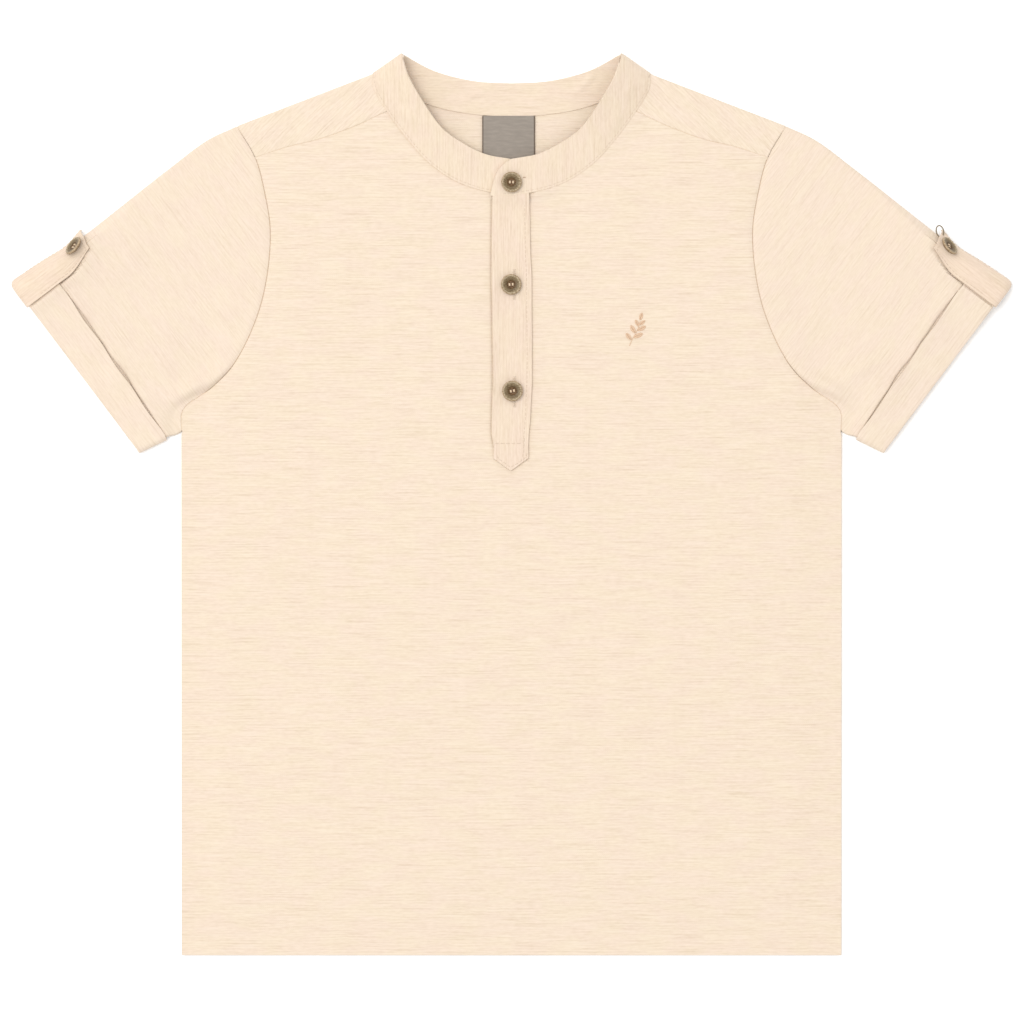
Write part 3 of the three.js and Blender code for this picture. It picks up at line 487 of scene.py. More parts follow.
def shoulder_strip(side):
    """The strip over the shoulder fold, down to the forward seam, with its place on the cut cloth."""
    arc = np.linspace(-90, 90, 9)
    steps, rows = 34, 12
    neck = Run(shifted(Run(FRONT_NECK[:3]).points(4), NECK_TUCK))
    arm_top = shifted(np.array(ARMHOLE[:2]), -SEAM_LIP)[0]
    seam = Run(tucked(shifted(Run(SHOULDER_SEAM).points(4), -SHOULDER_LIP))[::-1])
    fold_share = (FOLD_RADIUS + BACK_Z) / armhole.length
    seam_share = np.linalg.norm(np.array(ARMHOLE[0]) - ARMHOLE[1]) / armhole.length
    t = np.linspace(0, 1, steps + 1)
    way = unit(mix(shoulder_way, fold_way, t[:, None] ** 2))
    start = mix(neck.at(0), arm_top, t[:, None]) - way * (FOLD_RADIUS + BACK_Z)
    grid, flat = [], []
    for angle in arc:
        turn = turned(angle)
        spot = start + way * turn[0] * FOLD_RADIUS
        grid.append(np.column_stack([spot, np.full(steps + 1, BACK_Z + FOLD_RADIUS * (1 + turn[1]))]))
        flat.append(start + way * FOLD_RADIUS * math.radians(angle + 90))
    for share in np.linspace(0, 1, rows + 1)[1:]:
        spot = mix(start, seam.at(t), share)
        at_neck = neck.at(mix(0.1, 0.99, share))
        at_arm = armhole_spot(mix(fold_share, seam_share, share), -SEAM_LIP)
        spot = spot + (at_neck - spot[0]) * (1 - smooth(t / 0.25))[:, None]
        spot = spot + (at_arm - spot[-1]) * smooth((t - 0.75) / 0.25)[:, None]
        z = FRONT_Z + relief(spot[:, 0] * side, spot[:, 1], SHOULDER_CREASES)
        grid.append(np.column_stack([spot, z + NECK_RISE * (1 - smooth(t / 0.1))]))
        flat.append(start + way * (FOLD_RADIUS * math.pi + np.linalg.norm(spot - start, axis=1)[:, None]))
    return np.array(grid), np.array(flat)


def halved(faces, uv):
    """Squares cut into triangles."""
    cut = [[0, 1, 2], [0, 2, 3]]
    return np.vstack([faces[:, c] for c in cut]), np.vstack([uv[:, c] for c in cut])


def joined(points, faces):
    """Points in the same place become one."""
    _, first, numbers = np.unique(np.round(points, 3), axis=0, return_index=True, return_inverse=True)
    return points[first], numbers.reshape(-1)[faces]


def back_sheet():
    strips = [shoulder_strip(1), shoulder_strip(-1)]
    fold_start = strips[0][0][0][:, :2][::-1]
    neck = shifted(Run(BACK_NECK).points(EDGE_CELL), NECK_TUCK)[1:-1]
    one = np.vstack([body_side(), body_armhole(fold_start[0][1] - 1.5), fold_start, neck])
    middle = [(0, BACK_NECK[-1][1] - NECK_TUCK)]
    outline = np.vstack([hem(), [(HALF_BODY, HEM_Y)], one, middle, mirrored(one)])
    spots, faces = panel(outline, BACK_CELL)
    points = [np.column_stack([spots, BACK_Z + relief(spots[:, 0], spots[:, 1], BACK_CREASES)])]
    all_faces, uv, count = [faces[:, ::-1]], [spots[faces[:, ::-1]]], len(spots)
    for side, (grid, flat) in zip((1, -1), strips):
        squares = grid_faces(grid.shape[0] - 1, grid.shape[1] - 1)
        numbers, places = (corners[:, ::side] for corners in squares)
        numbers, flat_uv = halved(numbers, (flat.reshape(-1, 2) * (side, 1))[places])
        points.append(grid.reshape(-1, 3) * (side, 1, 1))
        all_faces.append(numbers + count)
        uv.append(flat_uv)
        count += len(points[-1])
    return *joined(np.vstack(points), np.vstack(all_faces)), np.vstack(uv)


points, faces, uv = back_sheet()
back = cloth("back_linen", points, faces, uv, linen("linen_back", LINEN, 2.0), round_out=seam_lips(points))
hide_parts("back")

# Front
# One piece of linen, slit down from the neck for the placket. It lies on the back, rests on it
# at the side seams and the hem, and is sewn to it at the side and forward shoulder seams.
EDGE_Z = BACK_Z + LAYER
UNDULATION = 0.22
FRONT_CELL = 2.6
SLIT = {"left": -7.0, "right": 8.5, "bottom": 36.0}
# Where the placket's edges lie at each height: they were pressed by hand and wander a little
PLACKET_EDGES = [
    (24.8, -9.6, 9.1), (31, -9.2, 9.0), (38, -10.4, 9.3), (45, -10.3, 10.0), (56, -10.0, 10.5),
    (64, -9.7, 11.0), (80, -9.7, 11.0), (111, -10.2, 10.8), (122, -10.4, 10.8), (132, -10.4, 10.2),
    (150, -10.3, 9.8), (166, -10.1, 9.5),
]
# The front sinks a little just beside the placket's left edge, where it is sewn in
GUTTER = {"off": 0.5, "half": 0.6, "depth": 0.55, "step": 1.8}
GUTTER_COLUMNS = (-2.4, -1.7, -1.2, -0.8, -0.4, 0.0, 0.5)
# The band's over end lies this much higher than its under end, and comes down along this run
BAND_LAP = 1.9
LAP_RUN = {"start": 11, "length": 22}
FRONT_CREASES = [
    (-166, 52, -148, 68, 0, 2.5, 0.35), (166, 52, 148, 68, 0, 2.5, 0.35),
    (-168, 40, -128, 66, 4, 4.5, 0.55), (-160, 30, -118, 38, -3, 5, 0.4), (166, 44, 124, 62, -5, 5, 0.5),
    (-128, 150, -92, 128, 3, 6, 0.35), (126, 158, 98, 120, 5, 5.5, 0.4), (-60, -20, -96, -58, 6, 9, 0.4),
    (40, -70, 92, -102, -6, 10, 0.35), (-20, -140, -74, -152, 4, 9, 0.3), (104, 10, 140, -20, 5, 8, 0.35),
    (-156, -120, -120, -158, -5, 8, 0.35), (60, 130, 72, 96, 3, 6, 0.3), (-46, 120, -36, 84, -3, 6, 0.3),
]


def front_height(x, y):
    """The front rises a little from its side seams and hem, as in the cut solid."""
    from_side = smooth((HALF_BODY - np.abs(x)) / 30)
    from_hem = smooth((y - HEM_Y) / 45)
    rise = (FRONT_Z - EDGE_Z) * np.maximum(from_side * from_hem, smooth((y - 60) / 90))
    calm = from_side * from_hem * (1 - smooth((y - 90) / 90)) * smooth((np.abs(x) - 12) / 30)
    wave = np.sin(x / 31 + 1.1) * np.sin(y / 57) + 0.6 * np.sin((x - y) / 23)
    return EDGE_Z + rise + UNDULATION * calm * wave


def front_relief(x, y):
    near_seam = smooth((np.abs(x) - 14) / 16) * smooth((HALF_BODY - np.abs(x)) / 8)
    return relief(x, y, FRONT_CREASES) * near_seam


placket_edges = np.array(PLACKET_EDGES)


def placket_left(level):
    return np.interp(level, placket_edges[:, 0], placket_edges[:, 1])


def placket_right(level):
    return np.interp(level, placket_edges[:, 0], placket_edges[:, 2])


def gutter(x, y):
    off = (x - placket_left(y) + GUTTER["off"]) / GUTTER["half"]
    return -GUTTER["depth"] * np.exp(-off**2) * smooth((y - 24) / 12) * smooth((167 - y) / 5)


def lapped(x):
    """How much of the band's lap is left at a distance from the middle."""
    return 1 - smooth((x - LAP_RUN["start"]) / LAP_RUN["length"])


def band_rise(spots):
    """Near the neck seam the front rises into the doubled band, more where the band laps."""
    lap = BAND_LAP * lapped(spots[:, 0]) * smooth((spots[:, 0] - 10.6) / 2.5)
    near = 1 - smooth(to_line(spots, front_neck.points(4)) / 6)
    return near * (NECK_RISE + lap)


def neck_edge(x):
    """The front's neck edge at a distance from the middle."""
    edge = shifted(front_neck.points(2), NECK_TUCK)[::-1]
    return np.interp(np.abs(x), edge[:, 0], edge[:, 1])


def front_outline():
    seam = tucked(shifted(Run(SHOULDER_SEAM).points(EDGE_CELL), SHOULDER_LIP))
    neck = shifted(front_neck.points(EDGE_CELL), NECK_TUCK)
    below = neck[:, 1] < seam[-1][1] - 1
    right = neck[below & (neck[:, 0] > SLIT["right"] + 1)]
    left = neck[below & (neck[:, 0] > 1 - SLIT["left"])]
    one = np.vstack([body_side(), body_armhole(seam[0][1] - 1), seam])
    corners = [(SLIT["right"], float(neck_edge(SLIT["right"]))), (SLIT["right"], SLIT["bottom"]),
               (SLIT["left"], SLIT["bottom"]), (SLIT["left"], float(neck_edge(SLIT["left"])))]
    slit = np.vstack([*(straight(a, b, EDGE_CELL) for a, b in zip(corners, corners[1:])), corners[-1:]])
    return np.vstack([hem(), [(HALF_BODY, HEM_Y)], one, right, slit, mirrored(left), mirrored(one)])


arm_line = armhole.points(4)
levels, columns = np.meshgrid(np.arange(26, 165, GUTTER["step"]), GUTTER_COLUMNS, indexing="ij")
by_placket = np.column_stack([(placket_left(levels) + columns).ravel(), levels.ravel()])
by_arm = armhole_spot(np.linspace(0.01, 0.97, 170), -SEAM_LIP - ARM_DIP["reach"] * 0.75)
spots, faces = panel(front_outline(), FRONT_CELL, np.vstack([by_placket, by_arm, by_arm * (-1, 1)]))
x, y = spots.T
from_seam = np.maximum(0, to_line(np.column_stack([np.abs(x), y]), arm_line) - SEAM_LIP)
z = front_height(x, y) + front_relief(x, y) + gutter(x, y) + arm_dip(x, y, from_seam) + band_rise(spots)
points = np.column_stack([spots, z])
front = cloth("front_linen", points, faces, spots[faces], linen("linen_front", LINEN, 5.0),
              round_out=seam_lips(points))
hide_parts("front")

# Placket
# Two straight strips of linen cut with their slubs upright. The under strip fills the slit;
# the top strip lies over it and the front, stitched down along its right edge and its point.
PLACKET = {"top": 165.8, "slant": 0.06, "shoulder": 24.8, "tip": 18.0}
PLACKET_WALL = 1.0
PLACKET_LINEN = (250, 228, 205)
PLACKET_CREASES = [
    (-9.6, 170, -9.6, 28, 0.2, 1.6, 0.5), (8, 40, 7, 24, 0.2, 0.8, -0.12), (-4, 112, 6, 108, 0.5, 2, 0.12),
]


def strip(left, right, bottom, lift, rows, columns):
    """An upright strip of the placket, from its lower edge to the neck band."""
    share, up = np.meshgrid(np.linspace(0, 1, columns + 1), np.linspace(0, 1, rows + 1))
    level = mix(PLACKET["shoulder"], PLACKET["top"], up)
    x = mix(left(level), right(level), share)
    top = PLACKET["top"] - NECK_TUCK + PLACKET["slant"] * np.maximum(x, 0)
    y = mix(bottom(x, share), top, up)
    z = front_height(x, y) + lift + relief(x, y, PLACKET_CREASES) * (lift > 0)
    z = z + (BAND_LAP + NECK_RISE - LAYER) * smooth((y - PLACKET["top"] + 5) / 5)
    points = np.stack([x, y, z], -1)
    numbers, places = grid_faces(rows, columns)
    flat = np.stack([y, x], -1).reshape(-1, 2)
    return points, numbers, flat[places]


def placket_point(x, share):
    """The pointed lower end of the top strip, its tip a little rounded."""
    off = np.abs(share - 0.49) / 0.51
    return mix(PLACKET["tip"], PLACKET["shoulder"], smooth(off * 0.9 + 0.05) * 0.2 + off * 0.8)


placket_linen = linen("linen_placket", PLACKET_LINEN, 61.0)
points, faces, uv = strip(
    lambda y: SLIT["left"] + SEAM + 0 * y, lambda y: SLIT["right"] - SEAM + 0 * y,
    lambda x, share: SLIT["bottom"] + SEAM, 0, 60, 8,
)
placket_under = cloth("placket_under_linen", points.reshape(-1, 3), faces, uv, placket_linen)
points, faces, uv = strip(placket_left, placket_right, placket_point, LAYER, 110, 18)
placket_top = cloth("placket_top_linen", points.reshape(-1, 3), faces, uv, placket_linen, thick=PLACKET_WALL)

STITCH = {"length": 2.0, "gap": 0.5, "radius": 0.15, "arch": 0.04, "sides": 6}
THREAD = (246, 224, 200)
PLACKET_STITCH_INSET = 2.6
BUTTONHOLE = {"length": 16.4, "width": 1.6, "pitch": 0.34, "radius": 0.19, "slit": 0.04}
BUTTONHOLES = [(1.5, 118.5), (1.7, 60.6)]
BUTTONHOLE_THREAD = (253, 232, 209)
# Lines of stitches at the strip's lower end: along its point, above it and beside it
PLACKET_END_STITCHES = [
    [(-8.0, 26.2), (-7.2, 24.6), (-0.4, 19.8), (7.2, 24.4), (8.6, 27.5)],
    [(-9.0, 32.7), (5.2, 32.7)], [(7.0, 35.6), (6.3, 26.5), (4.8, 22.6)],
]


def cotton(name, colour, twist=0.9):
    """Twisted sewing cotton: fine slanting ribs, with painted shade between them."""
    material, shader, long, round_it = plain_material(name)
    rib = ((long / twist + round_it / 1.1) * (2 * math.pi)).sine() * 0.5 + 0.5
    # The colour is painted darker between the ribs, as shade in the grooves of the twist.
    face = rib.blend(tint([0.93 * v for v in colour]), tint(colour))
    bump = (rib * 0.04).bump(0.6)
    face.feeds(shader, "Base Color")
    bump.feeds(shader, "Normal")
    shader.inputs["Roughness"].default_value = 0.6
    return material


def threads(name, stitches, material, radius=STITCH["radius"], arch=STITCH["arch"]):
    """Many short threads in one mesh. Each stitch is its start, its end and the way up."""
    sides = STITCH["sides"]
    starts, ends, ups = (np.array([stitch[k] for stitch in stitches], float) for k in range(3))
    way, length = unit(ends - starts), np.linalg.norm(ends - starts, axis=1)
    side = unit(np.cross(way, ups))
    up = np.cross(side, way)
    rings, count = np.array([0, 0.14, 0.5, 0.86, 1]), len(starts)
    level = radius * np.array([-1.2, 0, 0, 0, -1.2]) + arch * np.array([0, 0.6, 1, 0.6, 0])
    size = radius * np.array([0.5, 0.95, 1, 0.95, 0.5])
    turn = turned(np.arange(sides) * 360 / sides)[None, None, :, :, None]
    centre = mix(starts[:, None], ends[:, None], rings[None, :, None]) + up[:, None] * level[None, :, None]
    out = turn[..., 0, :] * side[:, None, None] + turn[..., 1, :] * up[:, None, None]
    points = (centre[:, :, None] + out * size[None, :, None, None]).reshape(-1, 3)
    numbers, places = grid_faces(len(rings) - 1, sides, closed=True)
    numbers = numbers[:, ::-1]
    each = len(rings) * sides
    faces, uv = [], []
    around = np.arange(sides + 1) * 2 * math.pi * radius / sides
    flat = np.stack(np.meshgrid(rings, around, indexing="ij"), -1).reshape(-1, 2)
    for i in range(count):
        faces += (numbers + i * each).tolist()
        uv.append((flat[places[:, ::-1]] * (length[i], 1)).reshape(-1, 2))
        faces += [[i * each + k for k in range(sides)], [(i + 1) * each - 1 - k for k in range(sides)]]
        uv.append(np.zeros((2 * sides, 2)))
    return shown(name, points, faces, np.vstack(uv), material, sharp=80)


def stitch_row(path, ups=None, length=STITCH["length"], gap=STITCH["gap"]):
    """Even stitches along a line of points on the cloth."""
    path = np.asarray(path, float)
    ups = np.tile((0, 0, 1.0), (len(path), 1)) if ups is None else ups
    along = np.concatenate([[0], np.cumsum(np.linalg.norm(np.diff(path, axis=0), axis=1))])
    count = max(1, int((along[-1] + gap) / (length + gap)))
    starts = np.arange(count) * (along[-1] + gap) / count
    ends = starts + (along[-1] + gap) / count - gap

    def at(values, s):
        return np.stack([np.interp(s, along, column) for column in values.T], -1)

    return list(zip(at(path, starts), at(path, ends), unit(at(ups, (starts + ends) / 2))))


def on_placket(xy):
    """Spots on the top strip's upper face."""
    xy = np.asarray(xy, float)
    z = front_height(xy[:, 0], xy[:, 1]) + relief(xy[:, 0], xy[:, 1], PLACKET_CREASES)
    z = z + LAYER + PLACKET_WALL / 2
    return np.column_stack([xy, z])


def buttonhole(x, y, level):
    """A worked buttonhole: close bars of thread on both sides of its slit, and a bar at each end."""
    bars = []
    half_long, half_wide = BUTTONHOLE["length"] / 2, BUTTONHOLE["width"] / 2
    for along in np.arange(-half_long + 0.5, half_long - 0.4, BUTTONHOLE["pitch"]):
        for side in (-1, 1):
            near, far = x + side * BUTTONHOLE["slit"], x + side * half_wide
            bars.append(((near, y + along, level), (far, y + along, level), (0, 0, 1)))
    for end in (-1, 1):
        for row in (0, BUTTONHOLE["pitch"]):
            spot = y + end * (half_long - row)
            bars.append(((x - half_wide, spot, level), (x + half_wide, spot, level), (0, 0, 1)))
    return bars


levels = np.linspace(PLACKET["top"] - 1, 27.5, 60)
edge_row = np.column_stack([placket_right(levels) - PLACKET_STITCH_INSET, levels])
rows = [stitch_row(on_placket(row)) for row in (edge_row, *PLACKET_END_STITCHES)]
placket_stitches = threads("placket_stitches", sum(rows, []), cotton("cotton_placket", THREAD))
worked = [bar for x, y in BUTTONHOLES for bar in buttonhole(x, y, float(on_placket([(x, y)])[0, 2]) + 0.05)]
bar_cotton = cotton("cotton_buttonholes", BUTTONHOLE_THREAD, 0.6)
placket_buttonholes = threads("placket_buttonholes", worked, bar_cotton, BUTTONHOLE["radius"], arch=0.1)
for piece, node in ((placket_under, "placket_under"), (placket_top, "placket_top")):
    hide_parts(node)

# Neck band
# A doubled stand-up band, sewn round the neck and pressed flat. It runs from its rounded over
# end at the front, round the back of the neck, to its under end below the top button.
FRONT_BAND_EDGE = [
    (59.5, 243.5), (56.0, 231.7), (49.0, 219.0), (37.2, 202.6), (26.0, 194.6), (14.0, 188.8), (0, 186.2),
]
BACK_BAND_EDGE = [(59.5, 243.5), (53.0, 239.4), (42.4, 234.0), (30.7, 230.4), (17.3, 227.9), (0, 227.1)]
OVER_END = [(-11.4, 166.4), (-10.5, 170.6), (-9.0, 176.0), (-6.8, 180.6), (-3.2, 184.3)]
BAND = 1.5
# Half the fold's width in plan, and half its height: the band stands up at its folded edge
BAND_FOLD = {"seam": 1.3, "edge": 1.5}
BAND_STAND = {"seam": 1.3, "edge": 5.6}
BAND_MIDDLE = 0.9
UNDER_END_Z = 3.4
OVER_END_Z = 5.3
UNDER_END_X = -10.0
BAND_LINEN = (251, 230, 206)
# Creases of the front half and of the back half of the band
BAND_CREASES = [
    (-64, 213, -48, 203, 1.5, 2.2, 0.9), (-66, 222, -58, 200, -2, 3.0, 0.5), (58, 214, 50, 200, 2, 3.0, 0.6),
    (40, 190, 34, 182, 1, 3, 0.3), (-30, 188, -26, 178, 1, 3, 0.3), (66, 230, 60, 218, 1, 2.5, 0.4),
]
BAND_BACK_CREASES = [
    (-27, 215, -11, 225, 1.5, 1.3, 0.7), (33, 221, 45, 234, -1, 1.3, 0.7), (4, 216, 20, 219, 1, 2.5, 0.2),
]
# The band is top-stitched just above its seam. Painted shade: a short row of dark thread lies on
# the left fold's peak, where the inside of the fold is in shadow
BAND_STITCH_ROW = 1
BAND_PEAK_SHADE = [(58.6, 241.6, 12.7), (58.4, 239.4, 12.5), (58.1, 237.4, 12.2)]
PEAK_SHADE_THREAD = (196, 168, 142)
# The end of the top buttonhole, which shows beside the button
END_HOLE = {"low": 175.9, "high": 176.6, "columns": (6.3, 6.7, 7.1, 7.5)}
END_HOLE_THREAD = (226, 196, 168)

band_line = unit(np.array(FRONT_BAND_EDGE[0]) - FRONT_NECK[0])
band_way = np.array([band_line[1], -band_line[0]])
band_seam = Run(shifted(front_neck.points(3), -SEAM / 2)[::-1])
band_edge = Run(FRONT_BAND_EDGE[::-1])
band_back_seam = Run(shifted(Run(BACK_NECK).points(3), -SEAM / 2))
band_back_edge = Run(BACK_BAND_EDGE)
over_end = Run(OVER_END)


def band_front(share, v, over, side):
    """A spot of the band's front half: the share runs from below 0 at its end to 1 at the fold."""
    stand = mix(BAND_STAND["seam"], BAND_STAND["edge"], v)
    if share >= 0:
        spot = mix(band_seam.at(share), band_edge.at(share), v)
    else:
        middle = mix(band_seam.at(0), band_edge.at(0), v)
        end = over_end.at(v) if over else np.array([UNDER_END_X, middle[1] + 1.8])
        spot = mix(middle, end, -share)
    lap = (OVER_END_Z - UNDER_END_Z) * lapped(spot[0]) if over else 0
    z = mix(UNDER_END_Z, BAND_MIDDLE + 2 * stand, smooth(share)) + lap
    calm = smooth(share / 0.12) * smooth(v / 0.3)
    return np.array([*spot, z + calm * relief(side * spot[0], spot[1], BAND_CREASES)])


def band_stations(over, side):
    """Ways to find a spot across the band, from its end at the front to the middle of the back."""
    stations = [lambda v, s=s: band_front(s, v, over, side) for s in (-1, -0.75, -0.5, -0.25)]
    stations += [lambda v, s=s: band_front(s, v, over, side) for s in np.linspace(0, 0.96, 34)]

    def fold(v, angle):
        turn = turned(angle)
        radius = mix(BAND_FOLD["seam"], BAND_FOLD["edge"], v)
        stand = mix(BAND_STAND["seam"], BAND_STAND["edge"], v)
        spot = mix(np.array(FRONT_NECK[0]) + band_line * SEAM, np.array(FRONT_BAND_EDGE[0]), v)
        out = turn[0] if angle > 0 else 1
        spot = spot + band_way * (radius * out - radius - BAND_MIDDLE)
        return np.array([*spot, BAND_MIDDLE + stand * (1 + turn[1])])

    def behind(v, share):
        spot = mix(band_back_seam.at(share), band_back_edge.at(share), v)
        rise = relief(side * spot[0], spot[1], BAND_BACK_CREASES) * smooth((share - 0.1) / 0.2)
        return np.array([*spot, BAND_MIDDLE + rise])

    stations += [lambda v, a=a: fold(v, a) for a in (90, 60, 30, 0, -30, -60, -90)]
    return stations + [lambda v, s=s: behind(v, s) for s in np.linspace(0.06, 1, 26)]


def band_grid():
    rows = np.linspace(0, 1, 17)
    over = [[station(v) for v in rows] for station in band_stations(True, 1)]
    under = [[station(v) * (-1, 1, 1) for v in rows] for station in band_stations(False, -1)[:-1]]
    control = np.array(over + under[::-1])
    run = Run(control.reshape(len(control), -1), 8)
    grid = run.at(np.linspace(0, 1, 301)).reshape(301, -1, 3).transpose(1, 0, 2)
    grid[..., 2] = np.maximum(grid[..., 2], BAND_MIDDLE)
    return grid


band = band_grid()
numbers, places = grid_faces(band.shape[0] - 1, band.shape[1] - 1)
upright = band[..., [1, 0]].reshape(-1, 2)
lying = band[..., :2].reshape(-1, 2)
collar = cloth("collar_linen", band.reshape(-1, 3), numbers, upright[places],
               linen("linen_band", BAND_LINEN, 83.0), uv_under=lying[places], thick=BAND)
band_normals = normals_of(band.reshape(-1, 3), numbers).reshape(band.shape)
row = stitch_row((band + band_normals * BAND / 2)[BAND_STITCH_ROW, 4:-4], band_normals[BAND_STITCH_ROW, 4:-4])
over_top = OVER_END_Z + BAND / 2
end_hole = [((x, END_HOLE["low"], over_top), (x, END_HOLE["high"], over_top), (0, 0, 1))
            for x in END_HOLE["columns"]]
collar_stitches = threads("collar_stitches", row, cotton("cotton_collar", THREAD), radius=0.12)
# Dark thread on the left fold's peak: painted shade
collar_peak_shade = threads("collar_peak_shade", stitch_row(BAND_PEAK_SHADE, gap=0.1), cotton("cotton_peak_shade", PEAK_SHADE_THREAD), 0.24)
hole_cotton = cotton("cotton_collar_hole", END_HOLE_THREAD, 0.6)
collar_buttonhole = threads("collar_buttonhole", end_hole, hole_cotton, radius=0.2, arch=0.1)
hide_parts("collar")

# Sleeves
# Each is one tube of linen, set into the armhole and folded flat. Its hem is turned up on the
# outside as a cuff, whose loose edge bulges away from the sleeve below the tab.
UNDERARM_GAP = 1.0
ROLL = {"height": 2.5, "slope": 48}
TURN_RADIUS = LAYER / 2
CUFF_LIP = 0.5
CUFF_WANDER = 0.3
CUFF_BULGES = [(0.3, 1.0, 0.08), (0.44, 0.6, 0.05), (0.63, 1.9, 0.07), (0.8, 0.5, 0.06)]
# The sleeve puffs up just beside the pressed edges of the cuff and the tab
PUFF = {
    "height": 1.1, "start": 0.35, "rise": 0.95, "reach": 6.0,
    "opened": 1.1, "open_at": 2.2, "tab_gap": 0.45,
}
ARM_FOLD = {"place": 0.805, "width": 0.05, "height": 5.0, "rise": 2.0, "reach": 14.0}
# The tab's inner edge, beside which the sleeve puffs up this many times as much
BESIDE_TAB = 1.45
TAB_EDGE = [
    (262.6, 105.2), (260.4, 106.8), (252.3, 112.9), (244.3, 119.0), (237.5, 124.3),
    (233.6, 129.2), (230.6, 134.0), (227.9, 138.2), (231.8, 147.0),
]
SLEEVE_TOP = [(148.2, 204.1), (164.4, 196.4), (186.0, 180.3), (208.3, 163.4), (252.2, 130.2)]
HEM_TOP = (268.7, 117.7)
CUFF_UNDERARM = (186.0, 34.6)
HEM_UNDERARM = (201.1, 27.0)
SLEEVE_LINEN = (252, 232, 210)
# The sleeves' weave stands out less than the body's
SLEEVE_DEPTH = 0.74
# Creases of the left sleeve, then of the right one as if it were a left one
SLEEVE_CREASES = [
    [
        (157, 72, 172.5, 58.6, 0, 2.6, -0.95), (170, 64, 196, 78, -2, 3.2, 0.9),
        (176, 54, 200, 58, -2, 3.5, 0.6), (152, 84, 176, 104, 4, 5, 0.5), (236, 118, 212, 90, 5, 6, 0.6),
        (150, 180, 190, 160, 6, 8, 0.5), (200, 130, 222, 104, -4, 6, 0.4),
    ], [
        (156, 73, 173, 58.2, 0, 2.8, -1.0), (168, 66, 190, 82, -3, 3.0, 1.0),
        (174, 56, 204, 62, -2, 4.0, 0.6), (146, 96, 170, 108, 3, 5, 0.5), (232, 112, 206, 84, -5, 6, 0.6),
        (144, 160, 184, 150, -5, 8, 0.5), (196, 140, 214, 118, 4, 6, 0.45),
    ],
]
# Places across the upper layer, closer by the tab, and angles round each fold
ACROSS = np.concatenate([
    np.linspace(0, 0.05, 5)[:-1], np.linspace(0.05, 0.19, 25)[:-1], np.linspace(0.19, 1, 52),
])
SLEEVE_ARCS = {
    "low": np.linspace(-75, 48, 7), "high": np.linspace(48, 80, 3), "under": np.linspace(75, -75, 7),
}
# The lower layer shows the creases faintly, and the other way up
LOW_CREASES = -0.3
# On the cut cloth the cuff lies this much beyond the tube
CUFF_SHIFT = 170

hem_line = unit(np.array(HEM_UNDERARM) - HEM_TOP)
hem_way = np.array([-hem_line[1], hem_line[0]])
sleeve_top = Run(SLEEVE_TOP)
cuff_top = np.array(SLEEVE_TOP[-1])
cuff_depth = np.linalg.norm(cuff_top - HEM_TOP)
top_line = unit(np.array(SLEEVE_TOP[1]) - cuff_top)
top_way = np.array([top_line[1], -top_line[0]])
under_line = unit(np.array(HEM_UNDERARM) - ARMHOLE[-1])
under_way = np.array([under_line[1], -under_line[0]])
arm_end_way = unit(np.array(ARMHOLE[-1]) - ARMHOLE[-2])


def sleeve_lie(share):
    """How the sleeve lies at a share of its length: 0 at the armhole, 1 at the cuff edge, 2 at the hem."""
    near, cuff = min(1, share), max(0, share - 1)
    hem_step = hem_way * -(TURN_RADIUS + BACK_Z) * cuff
    if share <= 1:
        top = sleeve_top.at(share)
        under = mix(armhole_spot(1, SEAM_LIP), np.array(CUFF_UNDERARM), share)
    else:
        top = mix(cuff_top, np.array(HEM_TOP), cuff) + hem_step
        under = mix(np.array(CUFF_UNDERARM), np.array(HEM_UNDERARM), cuff) + hem_step
    lifted = smooth((near - 0.3) / 0.6)
    roll = 0.15 + ROLL["height"] * smooth((near - 0.35) / 0.4)
    return SimpleNamespace(
        share=share, top=top, under=under, lifted=lifted, roll=roll, low=BACK_Z + LAYER * lifted,
        top_turn=unit(mix(fold_way, top_way, smooth(near / 0.2))),
        under_turn=unit(mix(arm_end_way, under_way, smooth(near / 0.6))),
        roll_run=roll / math.tan(math.radians(90 - ROLL["slope"])),
        under_radius=mix((EDGE_Z - BACK_Z) / 2, UNDERARM_GAP, lifted),
        top_inset=FOLD_RADIUS + BACK_Z + LAYER * lifted,
    )


def across_sleeve(lie, across, inset):
    """Spots on a layer, across the sleeve from its top fold (0) to its underarm (1)."""
    across = np.asarray(across, float)
    under_inset = lie.under_radius + BACK_Z + LAYER * lie.lifted
    top = lie.top - lie.top_turn * inset
    under = lie.under - lie.under_turn * under_inset
    spot = mix(top, under, across[..., None])
    if lie.share >= 1:
        return spot
    first, last = inset / armhole.length, 1 - under_inset / armhole.length
    on_seam = armhole_spot(np.clip(across, first, last), SEAM_LIP)
    if lie.share == 0:
        return on_seam
    bow = on_seam - mix(armhole_spot(first, SEAM_LIP), armhole_spot(last, SEAM_LIP), across[..., None])
    return spot + bow * (1 - lie.share)


def sleeve_height(lie, across):
    start = armhole.at(across)
    opening = mix(2 * FOLD_RADIUS, 2 * lie.under_radius, smooth(across))
    settled = lie.low + opening + lie.roll * (1 - smooth(np.asarray(across) / 0.4))
    return mix(front_height(start[..., 0], start[..., 1]), settled, smooth(lie.share / 0.35))


def puff(distance):
    """Cloth rising just beyond a pressed edge, and sinking back further off."""
    rise = smooth((distance - PUFF["start"]) / PUFF["rise"])
    return PUFF["height"] * rise * np.exp(-(distance / PUFF["reach"]) ** 2)


def over_seam(spots):
    """The sleeve's soft fold over the lower armhole: it sinks steeply to the seam."""
    away = to_line(spots, arm_line)
    near = np.exp(-((ACROSS - ARM_FOLD["place"]) / ARM_FOLD["width"]) ** 2)
    rise = 1 - np.exp(-np.maximum(0, away - SEAM_LIP) / ARM_FOLD["rise"])
    return ARM_FOLD["height"] * near * rise * np.exp(-(away / ARM_FOLD["reach"]) ** 2)


